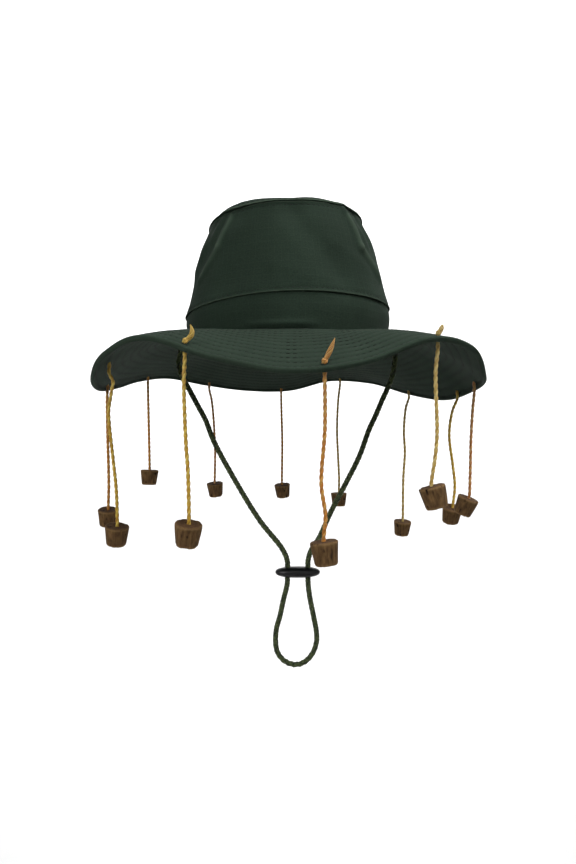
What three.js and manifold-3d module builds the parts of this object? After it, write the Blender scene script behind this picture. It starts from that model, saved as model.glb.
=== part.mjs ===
// A cork hat: a soft cotton hat with a wide wavy brim, a cork on a string at each of twelve
// places round the brim, and a chin cord with a slide.
// Millimetres, +Z up. The wearer looks along -Y, and the origin is the middle of the head opening
// at the height of the brim's seam in front.
import * as THREE from "three";
import { mergeVertices } from "three/addons/utils/BufferGeometryUtils.js";
import Module from "manifold-3d";

const wasm = await Module();
wasm.setup();

// Crown
const headLength = 200; // outside of the crown's foot, front to back
const headWidth = 173; // outside of the crown's foot, side to side
const crownHeight = 100; // from the brim's seam in front to the seam round the top panel
const crownLean = 0.047; // rise of the crown to the wearer's left, per millimetre of width
const crownShift = -2; // the crown's top stands to the wearer's right of its foot
const tipDome = 13; // rise of the top panel above its seam
const tipFullness = 2.8; // how flat the top panel's middle is
const tipLap = 0.6; // the top panel's seam stands out past the wall
const cloth = 1.2; // one wall of the crown
const bandHeight = 29; // from the brim's seam to the edge of the wall that laps over the band
const bandLap = 6; // the band runs up behind the wall

// Brim
const brimWidth = 87; // cloth from the seam to the hem
const brimCloth = 2.4; // two layers stitched in rows
const neckRise = 6; // the seam's rise at the sides
const curlFront = 0.02; // arch of the brim's section at the front and back, as a share of its width
const curlSide = 0.1; // the same at the sides

// Fit between pieces
const gap = 0.3;

// Corks and their strings
const stringDiameter = 2.8;
const stringInset = 6.5; // from the hem to each string's hole
const stringStraight = 8; // each string comes straight down out of the brim
const corkTop = 17.8; // diameter
const corkBottom = 14.2;
const corkHeight = 14.6;
const corkEdge = 0.7; // worn edge
const knotDiameter = 4.8;

// Vent eyelets in the crown's sides
const ventDiameter = 8;
const ventBore = 4;
const ventRise = 0.58; // share of the crown's height
const ventLip = 0.9; // how far the ring stands out from the cloth
const ventBarrel = 0.5; // wall of the tube through the cloth
const ventSeat = 0.45; // the cloth's flat facets stand this far off its curve, clearance included
const rimRound = 0.45; // slope of a metal ring's outer edge

// Chin cord
const cordDiameter = 4;
const cordReach = 7; // from the brim's seam out to the cord's eyelet
const cordEyeletDiameter = 9.5;
const cordEyeletThickness = 1.2;
const cordStraight = 9; // the cord comes straight down out of the brim
const cordKnotDiameter = 8;
const cordKnotHeight = 4;
const slideWidth = 38.4;
const slideHeight = 9.6;
const slideDepth = 15;
const slideFullness = 2.4; // an ellipse would be 2
const slideHoles = 18; // centre to centre
const slideAt = new THREE.Vector3(8.3, 0, -192.9);

// Drop of the brim's hem below the front seam, as a share of the brim's width. Angles run from
// the front (0) to the wearer's left (90) and round the back.
const hemWave = [
  { angle: 0, drop: 0.41 },
  { angle: 15, drop: 0.345 },
  { angle: 30, drop: 0.155 },
  { angle: 45, drop: 0.175 },
  { angle: 60, drop: 0.345 },
  { angle: 75, drop: 0.4 },
  { angle: 90, drop: 0.435 },
  { angle: 105, drop: 0.48 },
  { angle: 120, drop: 0.45 },
  { angle: 135, drop: 0.355 },
  { angle: 150, drop: 0.21 },
  { angle: 165, drop: 0.155 },
  { angle: 180, drop: 0.28 },
  { angle: 195, drop: 0.285 },
  { angle: 210, drop: 0.235 },
  { angle: 225, drop: 0.175 },
  { angle: 240, drop: 0.25 },
  { angle: 255, drop: 0.355 },
  { angle: 270, drop: 0.42 },
  { angle: 285, drop: 0.43 },
  { angle: 300, drop: 0.36 },
  { angle: 315, drop: 0.215 },
  { angle: 330, drop: 0.145 },
  { angle: 345, drop: 0.31 },
];

// The crown's sections at even steps of its height: shares of headWidth and headLength.
const crownSections = [
  { rise: 0, width: 0.99, length: 0.995 },
  { rise: 0.2, width: 1.012, length: 0.99 },
  { rise: 0.4, width: 0.954, length: 0.945 },
  { rise: 0.6, width: 0.901, length: 0.905 },
  { rise: 0.8, width: 0.848, length: 0.86 },
  { rise: 1, width: 0.752, length: 0.79 },
];

// Soft folds of the crown's wall, each along a line from one place (angle, share of the height) to
// another. out and spread are shares of crownHeight; a dent has out below zero.
const crownFolds = [
  { fromAngle: -46, fromRise: 0.96, toAngle: -70, toRise: 0.62, out: 0.018, spread: 0.08 },
  { fromAngle: 42, fromRise: 0.96, toAngle: 64, toRise: 0.58, out: 0.016, spread: 0.08 },
  { fromAngle: 4, fromRise: 0.92, toAngle: 30, toRise: 0.42, out: -0.025, spread: 0.12 },
  { fromAngle: -16, fromRise: 0.8, toAngle: -30, toRise: 0.45, out: -0.012, spread: 0.16 },
  { fromAngle: -130, fromRise: 0.95, toAngle: -150, toRise: 0.5, out: -0.02, spread: 0.14 },
  { fromAngle: 140, fromRise: 0.9, toAngle: 118, toRise: 0.5, out: -0.02, spread: 0.14 },
];

// Each string hangs from its hole in the brim through its own points: sideways offset and drop
// from the hole, the last one at the cork. dye names its colour. corkTilt turns the cork sideways
// and corkPitch forwards, in degrees. The knot's tail is tail long and leans sideways by tailLean
// degrees. inset is given where the hole lies further in from the hem than stringInset.
const hangs = [
  { angle: -21.5, dye: "yellow", corkTilt: 7, corkPitch: 12, tail: 9.5, tailLean: 20,
    points: [[-0.6, -23.2], [0.6, -60.2], [1.9, -79.2], [2.5, -110.7]] },
  { angle: 7.5, dye: "orange", corkTilt: -7, corkPitch: 0, tail: 14, tailLean: 23,
    points: [[0.1, -39], [-2.1, -73], [0.4, -92], [-0.7, -107.2]] },
  { angle: 34, dye: "straw", corkTilt: -15, corkPitch: 0, tail: 6, tailLean: 26,
    points: [[-1.4, -23.2], [-0.5, -62.2], [-1.7, -78.2], [-4.2, -96.4]] },
  { angle: 80, dye: "rust", corkTilt: 20, corkPitch: 12, tail: 5, tailLean: -30,
    points: [[-1.4, -23.3], [-2.8, -47.3], [-3.5, -77.3], [-4.4, -95.3]] },
  { angle: 98, dye: "yellow", corkTilt: 4, corkPitch: 18, tail: 7, tailLean: 70,
    points: [[-4.4, -19.4], [-7.2, -40.4], [-4.2, -66.4], [-2.2, -86.4], [-4.2, -104.4]] },
  { angle: 131, dye: "straw", corkTilt: 4, corkPitch: 10, tail: 6, tailLean: 60,
    points: [[-3, -18], [-5, -42], [-4, -63], [-5.6, -90], [-6.2, -133]] },
  { angle: 161, dye: "straw", corkTilt: 0, corkPitch: 0, tail: 6, tailLean: 40,
    points: [[-2, -25], [-3.3, -59], [-2.2, -87], [-1, -114], [-1.4, -127.5]] },
  { angle: 182.5, dye: "orange", corkTilt: -5, corkPitch: 10, tail: 7, tailLean: 10,
    points: [[0.4, -28.9], [1.2, -58.9], [0.9, -107.7]] },
  { angle: 209.5, dye: "rust", corkTilt: -4, corkPitch: 10, tail: 6, tailLean: -30,
    points: [[2.5, -19.2], [4.9, -44.2], [6.3, -76.2], [5.9, -108.7]] },
  { angle: 237, dye: "orange", corkTilt: 2, corkPitch: 0, tail: 7, tailLean: -60,
    points: [[0.3, -25], [1.2, -65], [1.7, -93]] },
  { angle: 272, dye: "orange", corkTilt: 3, corkPitch: 12, tail: 6, tailLean: -70,
    points: [[-0.2, -12.9], [0, -32.9], [0.5, -51.9], [1.3, -84.9], [0.8, -106.4]] },
  { angle: 303, inset: 13.5, dye: "yellow", corkTilt: 6, corkPitch: 12, tail: 4, tailLean: 10,
    points: [[2.8, -14.2], [1.6, -22.6], [-0.3, -36], [0.4, -48.3], [2.8, -70], [5.3, -94.5], [6, -119.4]] },
];

// The chin cord's route across the hat, from its knot on the wearer's right to the one on the
// left: X and Z in millimetres, all at Y = 0.
const cordRoute = [
  [-94, -14], [-91, -25], [-86, -34], [-78, -49], [-71, -62], [-64, -80], [-45, -115], [-24, -149],
  [-5, -173], [-0.7, -183], [-0.7, -193], [-0.7, -203], [-4, -217], [-7, -231], [-10, -242],
  [-10.6, -254], [-8.5, -263], [-2, -270], [7, -272.5], [14.5, -270], [21, -263], [24.3, -254],
  [24.6, -246], [22, -231], [18.8, -215], [17.3, -203], [17.3, -193], [17.3, -183], [20, -174],
  [27, -163], [36, -143], [48.5, -119], [61.5, -93], [69.5, -71], [75.5, -58], [81, -45],
  [86, -34], [90.5, -21],
];

// Mesh density
const aroundSteps = 60;
const brimSteps = 6;
const wallSteps = 6;
const bandSteps = 2;
const tipSteps = 4;
const tubeSides = 8;
const stringSteps = 8;
const cordSteps = 64;
const corkSides = 12;
const slideSteps = 8;
const stringKnot = { sides: 6, rings: 4 };
const cordKnot = { sides: 10, rings: 6 };

const cutterLength = 15; // a hole's cutter passes right through the cloth
const radians = THREE.MathUtils.degToRad;

// A smooth curve through evenly spaced values, at position u counted in rows.
function smoothAt(values, u, closed) {
  const n = values.length;
  const row = Math.floor(u);
  const at = (i) => values[closed ? ((i % n) + n) % n : Math.min(n - 1, Math.max(0, i))];
  const [a, b, c, d] = [at(row - 1), at(row), at(row + 1), at(row + 2)];
  const t = u - row;
  return b + 0.5 * t * (c - a + t * (2 * a - 5 * b + 4 * c - d + t * (3 * (b - c) + d - a)));
}

const hemDrops = hemWave.map((row) => row.drop);
const hemDrop = (angle) =>
  brimWidth * smoothAt(hemDrops, (angle / 360) * hemDrops.length, true);
const neckHeight = (angle) => neckRise * Math.sin(radians(angle)) ** 2;

// Place and outward direction, in plan, on an oval with these half axes.
function ovalAt(angle, halfWidth, halfLength) {
  const s = Math.sin(radians(angle));
  const c = Math.cos(radians(angle));
  return {
    at: new THREE.Vector3(halfWidth * s, -halfLength * c, 0),
    out: new THREE.Vector3(s / halfWidth, -c / halfLength, 0).normalize(),
  };
}

// Middle of the brim's cloth: share 0 is the seam at the crown's foot and 1 the hem. The section is
// an arch whose length along the cloth stays brimWidth.
function brimMiddle(angle, share) {
  const { at, out } = ovalAt(angle, headWidth / 2, headLength / 2);
  const neck = neckHeight(angle);
  const fall = hemDrop(angle) + neck;
  const curl = curlFront + (curlSide - curlFront) * Math.sin(radians(angle)) ** 4;
  const arch = curl * brimWidth;
  const chord = brimWidth - (8 * arch * arch) / (3 * brimWidth);
  const reach = Math.sqrt(chord * chord - fall * fall);
  at.addScaledVector(out, reach * share);
  at.z = neck - fall * share + 4 * arch * share * (1 - share);
  return at;
}

// Unit normal of a surface at (angle, share), on the outer or upper side.
function normalOf(surface, angle, share) {
  const turn = 0.5;
  const step = 0.01;
  const around = surface(angle + turn, share).sub(surface(angle - turn, share));
  const along = surface(angle, share + step).sub(surface(angle, share - step));
  return around.cross(along).normalize();
}

// Brim's surface at a height above the middle of its cloth. The normal points up.
function brimAt(angle, share, height) {
  const normal = normalOf(brimMiddle, angle, share).negate();
  return brimMiddle(angle, share).addScaledVector(normal, height);
}

// How far the folds push the crown's wall out at a place.
function foldOut(angle, rise) {
  const wide = (a) => (radians(a) * headWidth) / 2;
  const fromFront = ((angle + 180) % 360 + 360) % 360 - 180;
  const here = new THREE.Vector3(wide(fromFront), rise * crownHeight, 0);
  const nearest = new THREE.Vector3();
  let out = 0;
  for (const fold of crownFolds) {
    const line = new THREE.Line3(
      new THREE.Vector3(wide(fold.fromAngle), fold.fromRise * crownHeight, 0),
      new THREE.Vector3(wide(fold.toAngle), fold.toRise * crownHeight, 0),
    );
    line.closestPointToPoint(here, true, nearest);
    const far = nearest.distanceTo(here) / (fold.spread * crownHeight);
    out += fold.out * crownHeight * Math.exp(-far * far);
  }
  return out;
}

const sectionWidths = crownSections.map((row) => row.width);
const sectionLengths = crownSections.map((row) => row.length);

// Outer face of the crown's wall, moved out by some millimetres: rise 0 is the brim's seam and 1
// the seam round the top panel.
function crownAt(angle, rise, outwards = 0) {
  const row = rise * (crownSections.length - 1);
  const halfWidth = (headWidth / 2) * smoothAt(sectionWidths, row, false);
  const halfLength = (headLength / 2) * smoothAt(sectionLengths, row, false);
  const { at, out } = ovalAt(angle, halfWidth, halfLength);
  at.addScaledVector(out, foldOut(angle, rise) + outwards);
  const lean = crownLean * at.x * (1 - (1 - rise) ** 4);
  at.x += crownShift * rise * rise;
  at.z = neckHeight(angle) * (1 - rise) ** 6 + crownHeight * rise + lean;
  return at;
}

// A closed ring round the Z axis, from one closed section for each angle. Sections run
// counterclockwise where outwards is right and up is up.
function ring(sectionAt) {
  const places = [];
  const faces = [];
  let count = 0;
  for (let i = 0; i < aroundSteps; i++) {
    const section = sectionAt((360 * i) / aroundSteps);
    count = section.length;
    section.forEach((p) => places.push(p.x, p.y, p.z));
  }
  for (let i = 0; i < aroundSteps; i++)
    for (let j = 0; j < count; j++) {
      const next = ((i + 1) % aroundSteps) * count;
      const [a, b] = [i * count + j, i * count + ((j + 1) % count)];
      const [c, d] = [next + j, next + ((j + 1) % count)];
      faces.push(a, c, d, a, d, b);
    }
  return bareGeometry(new Float32Array(places), faces);
}

// A closed cap over the Z axis: each angle's section runs from the lower middle out to the edge
// and back to the upper middle, and all sections share those two points.
function cap(sectionAt) {
  const places = [];
  const faces = [];
  let inner = 0;
  for (let i = 0; i < aroundSteps; i++) {
    const section = sectionAt((360 * i) / aroundSteps);
    if (!i) [section[0], section.at(-1)].forEach((p) => places.push(p.x, p.y, p.z));
    inner = section.length - 2;
    section.slice(1, -1).forEach((p) => places.push(p.x, p.y, p.z));
  }
  for (let i = 0; i < aroundSteps; i++) {
    const first = 2 + i * inner;
    const next = 2 + ((i + 1) % aroundSteps) * inner;
    faces.push(0, next, first, 1, first + inner - 1, next + inner - 1);
    for (let j = 0; j < inner - 1; j++)
      faces.push(first + j, next + j, next + j + 1, first + j, next + j + 1, first + j + 1);
  }
  return bareGeometry(new Float32Array(places), faces);
}

function bareGeometry(places, faces) {
  const geometry = new THREE.BufferGeometry();
  geometry.setAttribute("position", new THREE.BufferAttribute(places, 3));
  geometry.setIndex(faces);
  return geometry;
}

// A geometry as a solid that can be joined and cut, and back.
function toSolid(geometry) {
  const bare = geometry.clone().deleteAttribute("normal").deleteAttribute("uv");
  const merged = mergeVertices(bare, 1e-4);
  const vertProperties = merged.attributes.position.array;
  const triVerts = new Uint32Array(merged.index.array);
  return new wasm.Manifold(new wasm.Mesh({ numProp: 3, vertProperties, triVerts }));
}
function toGeometry(solid) {
  const mesh = solid.getMesh();
  return bareGeometry(mesh.vertProperties, [...mesh.triVerts]);
}

// A tube with flat ends along a smooth curve through the points.
function tube(points, diameter, steps) {
  const section = new THREE.Shape();
  for (let i = 0; i < tubeSides; i++) {
    const turn = (2 * Math.PI * i) / tubeSides;
    const [x, y] = [(diameter / 2) * Math.cos(turn), (diameter / 2) * Math.sin(turn)];
    if (i) section.lineTo(x, y);
    else section.moveTo(x, y);
  }
  section.closePath();
  const extrudePath = new THREE.CatmullRomCurve3(points, false, "centripetal");
  return new THREE.ExtrudeGeometry(section, { steps, extrudePath, bevelEnabled: false });
}

// A turned solid from [radius, height] corners, closed on itself or on the axis.
function turned(corners, sides) {
  const profile = corners.map(([r, z]) => new THREE.Vector2(r, z));
  return new THREE.LatheGeometry(profile, sides).rotateX(Math.PI / 2);
}

// A round bore's cutter along Z.
const borer = (diameter, length) =>
  new THREE.CylinderGeometry(diameter / 2, diameter / 2, length, tubeSides).rotateX(Math.PI / 2);

const hat = new THREE.Group();
const looks = {
  cloth: new THREE.MeshStandardMaterial({ color: "#2f4034", roughness: 0.9 }),
  blackPlastic: new THREE.MeshStandardMaterial({ color: "#1b1a19", roughness: 0.5 }),
  cord: new THREE.MeshStandardMaterial({ color: "#3a4430", roughness: 0.9 }),
  cork: new THREE.MeshStandardMaterial({ color: "#7a5638", roughness: 0.95 }),
  darkMetal: new THREE.MeshStandardMaterial({ color: "#3d372f", roughness: 0.4, metalness: 1 }),
  yellow: new THREE.MeshStandardMaterial({ color: "#bd9a32", roughness: 0.9 }),
  straw: new THREE.MeshStandardMaterial({ color: "#b3a052", roughness: 0.9 }),
  orange: new THREE.MeshStandardMaterial({ color: "#b9772f", roughness: 0.9 }),
  rust: new THREE.MeshStandardMaterial({ color: "#a0582f", roughness: 0.9 }),
  brightMetal: new THREE.MeshStandardMaterial({ color: "#b9bcbd", roughness: 0.3, metalness: 1 }),
};

function place(name, geometry, material) {
  const mesh = new THREE.Mesh(geometry, material);
  mesh.name = name;
  hat.add(mesh);
  return mesh;
}

// Points along one face, from one share to another.
const along = (steps, from, to, at) =>
  Array.from({ length: steps + 1 }, (_, i) => at(from + ((to - from) * i) / steps));

// Brim: its inner edge reaches under the crown's foot.
function brimGeometry() {
  const inner = -(cloth + gap) / brimWidth;
  return ring((angle) => [
    ...along(brimSteps, inner, 1, (s) => brimAt(angle, s, -brimCloth / 2)),
    ...along(brimSteps, 1, inner, (s) => brimAt(angle, s, brimCloth / 2)),
  ]);
}

// Band round the foot of the crown. Its upper edge is hidden behind the wall.
function bandGeometry() {
  const inset = cloth + gap;
  const foot = (brimCloth / 2 + gap) / crownHeight;
  const top = (bandHeight + bandLap) / crownHeight;
  return ring((angle) => [
    ...along(bandSteps, foot, top, (h) => crownAt(angle, h, -inset)),
    ...along(bandSteps, top, foot, (h) => crownAt(angle, h, -inset - cloth)),
  ]);
}

// Wall of the crown, from the lap over the band to the top panel's seam.
function wallGeometry() {
  const foot = bandHeight / crownHeight;
  return ring((angle) => [
    ...along(wallSteps, foot, 1, (h) => crownAt(angle, h)),
    ...along(wallSteps, 1, foot, (h) => crownAt(angle, h, -cloth)),
  ]);
}

// Top panel: an oval of cloth that lies on the wall's upper edge and rises to the middle.
function tipPlace(angle, share, height) {
  const edge = crownAt(angle, 1, tipLap);
  const [x, y] = [edge.x * share, edge.y * share];
  const domed = tipDome * (1 - share ** tipFullness);
  return new THREE.Vector3(x, y, crownHeight + gap + height + domed + crownLean * x);
}
function tipGeometry() {
  return cap((angle) => [
    ...along(tipSteps, 0, 1, (r) => tipPlace(angle, r, 0)),
    ...along(tipSteps, 1, 0, (r) => tipPlace(angle, r, cloth)),
  ]);
}

// A frame whose +Z is the surface's normal at a place.
function seat(mesh, at, normal) {
  mesh.position.copy(at);
  mesh.quaternion.setFromUnitVectors(new THREE.Vector3(0, 0, 1), normal);
  return mesh;
}

// Cloth, with its holes. A string's round knot sinks a little into the mouth of its hole.
const stringHole = stringDiameter + 2 * gap;
const knotSeat = Math.sqrt(Math.max(0, knotDiameter ** 2 - stringHole ** 2)) / 2;
const holeShare = ({ inset = stringInset }) => 1 - inset / brimWidth;
const cordShare = cordReach / brimWidth;
let brimSolid = toSolid(brimGeometry());
for (const hang of hangs) {
  const at = brimMiddle(hang.angle, holeShare(hang));
  const cutter = borer(stringHole, cutterLength).translate(at.x, at.y, at.z);
  brimSolid = brimSolid.subtract(toSolid(cutter));
}
for (const angle of [-90, 90]) {
  const at = brimMiddle(angle, cordShare);
  const cutter = borer(cordDiameter + 2 * gap, cutterLength).translate(at.x, at.y, at.z);
  brimSolid = brimSolid.subtract(toSolid(cutter));
}
place("brim", toGeometry(brimSolid), looks.cloth);
place("crown_band", bandGeometry(), looks.cloth);
place("crown_tip", tipGeometry(), looks.cloth);

// Vent eyelets: a ring outside the wall, with a barrel through its hole
let wallSolid = toSolid(wallGeometry());
for (const [side, angle] of [["right", -90], ["left", 90]]) {
  const normal = normalOf(crownAt, angle, ventRise);
  const at = crownAt(angle, ventRise);
  const [bore, rim] = [ventBore / 2, ventDiameter / 2];
  const barrel = bore + ventBarrel;
  const hole = seat(new THREE.Mesh(borer(2 * (barrel + gap), cutterLength)), at, normal);
  hole.updateMatrixWorld();
  wallSolid = wallSolid.subtract(toSolid(hole.geometry.applyMatrix4(hole.matrixWorld)));
  const [tail, face] = [-cloth - ventLip, ventSeat + ventLip - gap / 2];
  const section = [
    [bore, tail], [barrel, tail], [barrel, ventSeat], [rim, ventSeat], [rim - rimRound, face],
    [bore, face], [bore, tail],
  ];
  seat(place("vent_eyelet_" + side, turned(section, 2 * tubeSides), looks.darkMetal), at, normal);
}
place("crown_wall", toGeometry(wallSolid), looks.cloth);

// Strings, their knots above the brim and their corks. A knot's tail bows up a little on its way.
function knotGeometry(tail, tailLean) {
  const ball = new THREE.SphereGeometry(knotDiameter / 2, stringKnot.sides, stringKnot.rings);
  const lean = radians(tailLean);
  const tip = new THREE.Vector3(tail * Math.sin(lean), 0, tail * Math.cos(lean));
  const bend = tip.clone().multiplyScalar(0.6).add(new THREE.Vector3(0, 0, 0.1 * tail));
  const strand = tube([new THREE.Vector3(), bend, tip], stringDiameter, 2);
  return toGeometry(toSolid(ball).add(toSolid(strand)));
}
function corkGeometry() {
  const [top, bottom, half] = [corkTop / 2, corkBottom / 2, corkHeight / 2];
  return turned(
    [
      [0, -half], [bottom - corkEdge, -half], [bottom, -half + corkEdge],
      [top, half - corkEdge], [top - corkEdge, half], [0, half],
    ],
    corkSides,
  );
}
hangs.forEach((hang, i) => {
  const number = String(i + 1).padStart(2, "0");
  const look = looks[hang.dye];
  const hole = brimMiddle(hang.angle, holeShare(hang));
  const below = ([x, z]) => hole.clone().add(new THREE.Vector3(x, 0, z));
  const points = [hole.clone(), below([0, -stringStraight]), ...hang.points.map(below)];
  const end = points.at(-1);
  place("cork_string_" + number, tube(points, stringDiameter, stringSteps), look);

  const normal = normalOf(brimMiddle, hang.angle, holeShare(hang)).negate();
  const knot = place("string_knot_" + number, knotGeometry(hang.tail, hang.tailLean), look);
  knot.position.copy(hole).addScaledVector(normal, brimCloth / 2 + gap + knotSeat);

  const cork = place("cork_" + number, corkGeometry(), looks.cork);
  cork.rotation.set(radians(hang.corkPitch), radians(hang.corkTilt), 0);
  const slant = Math.sin(radians(Math.hypot(hang.corkPitch, hang.corkTilt)));
  const reach = corkHeight / 2 + gap + (stringDiameter / 2) * slant;
  const down = new THREE.Vector3(0, 0, -reach).applyEuler(cork.rotation);
  cork.position.copy(end).add(down);
});

// Chin cord: through an eyelet under the brim at each side, with a knot on top
const cordEnds = [-90, 90].map((angle) => brimMiddle(angle, cordShare));
const belowEyelets = cordEnds.map((at) => at.clone().setZ(at.z - cordStraight));
const route = [
  cordEnds[0],
  belowEyelets[0],
  ...cordRoute.map(([x, z]) => new THREE.Vector3(x, 0, z)),
  belowEyelets[1],
  cordEnds[1],
];
place("chin_cord", tube(route, cordDiameter, cordSteps), looks.cord);
[["right", -90], ["left", 90]].forEach(([side, angle]) => {
  const at = brimMiddle(angle, cordShare);
  const normal = normalOf(brimMiddle, angle, cordShare).negate();
  const [bore, rim] = [cordDiameter / 2 + gap, cordEyeletDiameter / 2];
  const foot = -cordEyeletThickness;
  const flange = [[bore, foot], [rim - rimRound, foot], [rim, 0], [bore, 0], [bore, foot]];
  const under = brimCloth / 2 + 2 * gap; // the arched cloth's facets stand a little inside the arch
  const eyelet = place("cord_eyelet_" + side, turned(flange, 2 * tubeSides), looks.brightMetal);
  seat(eyelet, at.clone().setZ(at.z - under / normal.z), normal);
  const knot = new THREE.SphereGeometry(cordKnotDiameter / 2, cordKnot.sides, cordKnot.rings);
  knot.scale(1, 1, cordKnotHeight / cordKnotDiameter);
  const rest = brimCloth / 2 + gap + cordKnotHeight / 2;
  seat(place("cord_knot_" + side, knot, looks.cord), at.addScaledVector(normal, rest), normal);
});

// Slide on the chin cord: a flat olive with two holes through it
function slideGeometry() {
  const half = slideWidth / 2;
  const profile = along(slideSteps, -1, 1, (t) => {
    const x = Math.sin((t * Math.PI) / 2);
    const r = (slideHeight / 2) * (1 - Math.abs(x) ** slideFullness) ** (1 / slideFullness);
    return [Math.abs(t) === 1 ? 0 : r, half * x];
  });
  const body = turned(profile, corkSides).rotateY(Math.PI / 2).scale(1, slideDepth / slideHeight, 1);
  let solid = toSolid(body);
  for (const x of [-slideHoles / 2, slideHoles / 2]) {
    const bore = borer(cordDiameter + 2 * gap, 2 * slideHeight).translate(x, 0, 0);
    solid = solid.subtract(toSolid(bore));
  }
  return toGeometry(solid);
}
place("cord_slide", slideGeometry(), looks.blackPlastic).position.copy(slideAt);

export default hat;
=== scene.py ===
# %% [markdown]
# # A cork hat
# A soft bush hat of dark green ripstop cotton. Its wide brim is stitched in rows, twelve corks hang
# from the brim on twisted cotton strings, and a braided cord with a black slide goes under the chin.
# The hat stands in the air as a head would hold it. It could be one sculpted mesh, but a hat is sewn
# from panels, so here each panel, string and cork is a piece of its own.

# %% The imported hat
import math

import bmesh
import bpy
import numpy as np
from mathutils import Matrix, Vector


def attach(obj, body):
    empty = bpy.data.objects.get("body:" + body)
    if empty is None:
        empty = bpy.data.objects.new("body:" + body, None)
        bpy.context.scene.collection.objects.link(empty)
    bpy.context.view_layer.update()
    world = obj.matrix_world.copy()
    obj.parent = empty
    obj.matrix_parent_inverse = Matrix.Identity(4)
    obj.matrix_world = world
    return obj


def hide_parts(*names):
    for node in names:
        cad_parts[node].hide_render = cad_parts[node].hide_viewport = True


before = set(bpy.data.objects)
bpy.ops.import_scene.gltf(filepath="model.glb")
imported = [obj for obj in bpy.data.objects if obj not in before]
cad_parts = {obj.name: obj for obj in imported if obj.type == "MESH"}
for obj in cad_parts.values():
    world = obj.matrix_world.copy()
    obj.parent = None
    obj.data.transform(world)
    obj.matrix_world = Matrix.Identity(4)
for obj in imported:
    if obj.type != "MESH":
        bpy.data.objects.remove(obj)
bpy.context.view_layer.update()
MM = 0.001

# %% [markdown]
# ## The camera
# The picture was taken from in front, level with the corks' strings. Corks of one size all round the
# brim shrink quickly towards the back, so the camera stood close, about 59 cm away. A long lens from
# further off would give the same outline but wrong corks, so the lens follows from the distance.

# %% Camera
CAMERA_PLACE = Vector((0, -590, -72.5)) * MM
FOCAL_LENGTH_PX = 686
IMAGE_HEIGHT_PX = 864
SENSOR_HEIGHT = 36

camera = bpy.data.objects.new("camera", bpy.data.cameras.new("camera"))
bpy.context.collection.objects.link(camera)
camera.location = CAMERA_PLACE
camera.rotation_euler = (math.pi / 2, 0, 0)
camera.data.sensor_fit = "VERTICAL"
camera.data.sensor_height = SENSOR_HEIGHT
camera.data.lens = SENSOR_HEIGHT * FOCAL_LENGTH_PX / IMAGE_HEIGHT_PX
camera.data.clip_start = 10 * MM
bpy.context.scene.camera = camera

# %% [markdown]
# ## The form of the cloth
# A brim is a flat ring that can bend but hardly stretch. So each section across it keeps the length
# of its cloth while its hem rises and falls in waves, and the rest follows by arithmetic. Pushing
# vertices by hand would stretch it. These sizes and tables are the ones that the solid model uses.

# %% Sizes of the cloth, in millimetres
HEAD_LENGTH = 200
HEAD_WIDTH = 173
CROWN_HEIGHT = 100
CROWN_LEAN = 0.047
CROWN_SHIFT = -2
TIP_DOME = 13
TIP_FULLNESS = 2.8
TIP_LAP = 0.6
CLOTH = 1.2
BAND_HEIGHT = 29
BAND_LAP = 6
BRIM_WIDTH = 87
BRIM_CLOTH = 2.4
NECK_RISE = 6
CURL_FRONT = 0.02
CURL_SIDE = 0.1
GAP = 0.3

# Drop of the hem every 15 degrees from the front, as a share of the brim's width
HEM_WAVE = (
    0.41, 0.345, 0.155, 0.175, 0.345, 0.4, 0.435, 0.48, 0.45, 0.355, 0.21, 0.155,
    0.28, 0.285, 0.235, 0.175, 0.25, 0.355, 0.42, 0.43, 0.36, 0.215, 0.145, 0.31,
)
# Shares of the head's width and length at even steps of the crown's height
CROWN_WIDTHS = (0.99, 1.012, 0.954, 0.901, 0.848, 0.752)
CROWN_LENGTHS = (0.995, 0.99, 0.945, 0.905, 0.86, 0.79)
# Soft folds: from (angle, share of the height) to (angle, share), how far out, how wide (shares of
# the crown's height)
CROWN_FOLDS = (
    ((-46, 0.96), (-70, 0.62), 0.018, 0.08),
    ((42, 0.96), (64, 0.58), 0.016, 0.08),
    ((4, 0.92), (30, 0.42), -0.025, 0.12),
    ((-16, 0.8), (-30, 0.45), -0.012, 0.16),
    ((-130, 0.95), (-150, 0.5), -0.02, 0.14),
    ((140, 0.9), (118, 0.5), -0.02, 0.14),
)


# %% Surfaces of the brim and the crown
def bell(distance, width):
    """1 in the middle, falling smoothly to almost 0 at twice the width."""
    return np.exp(-((distance / width) ** 2))


def from_front(angle):
    """The same angle counted from the front, -180 to 180."""
    return (angle + 180) % 360 - 180


def paired(angle, share):
    return np.broadcast_arrays(np.asarray(angle, float), np.asarray(share, float))


def smooth_at(values, place, closed):
    """A smooth curve through evenly spaced values, at places counted in values."""
    values = np.asarray(values, float)
    row = np.floor(place).astype(int)
    t = place - row

    def at(i):
        return values[i % len(values) if closed else np.clip(i, 0, len(values) - 1)]

    a, b, c, d = at(row - 1), at(row), at(row + 1), at(row + 2)
    return b + 0.5 * t * (c - a + t * (2 * a - 5 * b + 4 * c - d + t * (3 * (b - c) + d - a)))


def oval_at(angle, half_width, half_length):
    """Places on an oval in plan, and the directions out of it. Angle 0 is the front."""
    s, c = np.sin(np.radians(angle)), np.cos(np.radians(angle))
    place = np.stack([half_width * s, -half_length * c, 0 * s], -1)
    out = np.stack([s / half_width, -c / half_length, 0 * s], -1)
    return place, out / np.linalg.norm(out, axis=-1, keepdims=True)


def neck_height(angle):
    return NECK_RISE * np.sin(np.radians(angle)) ** 2


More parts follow.
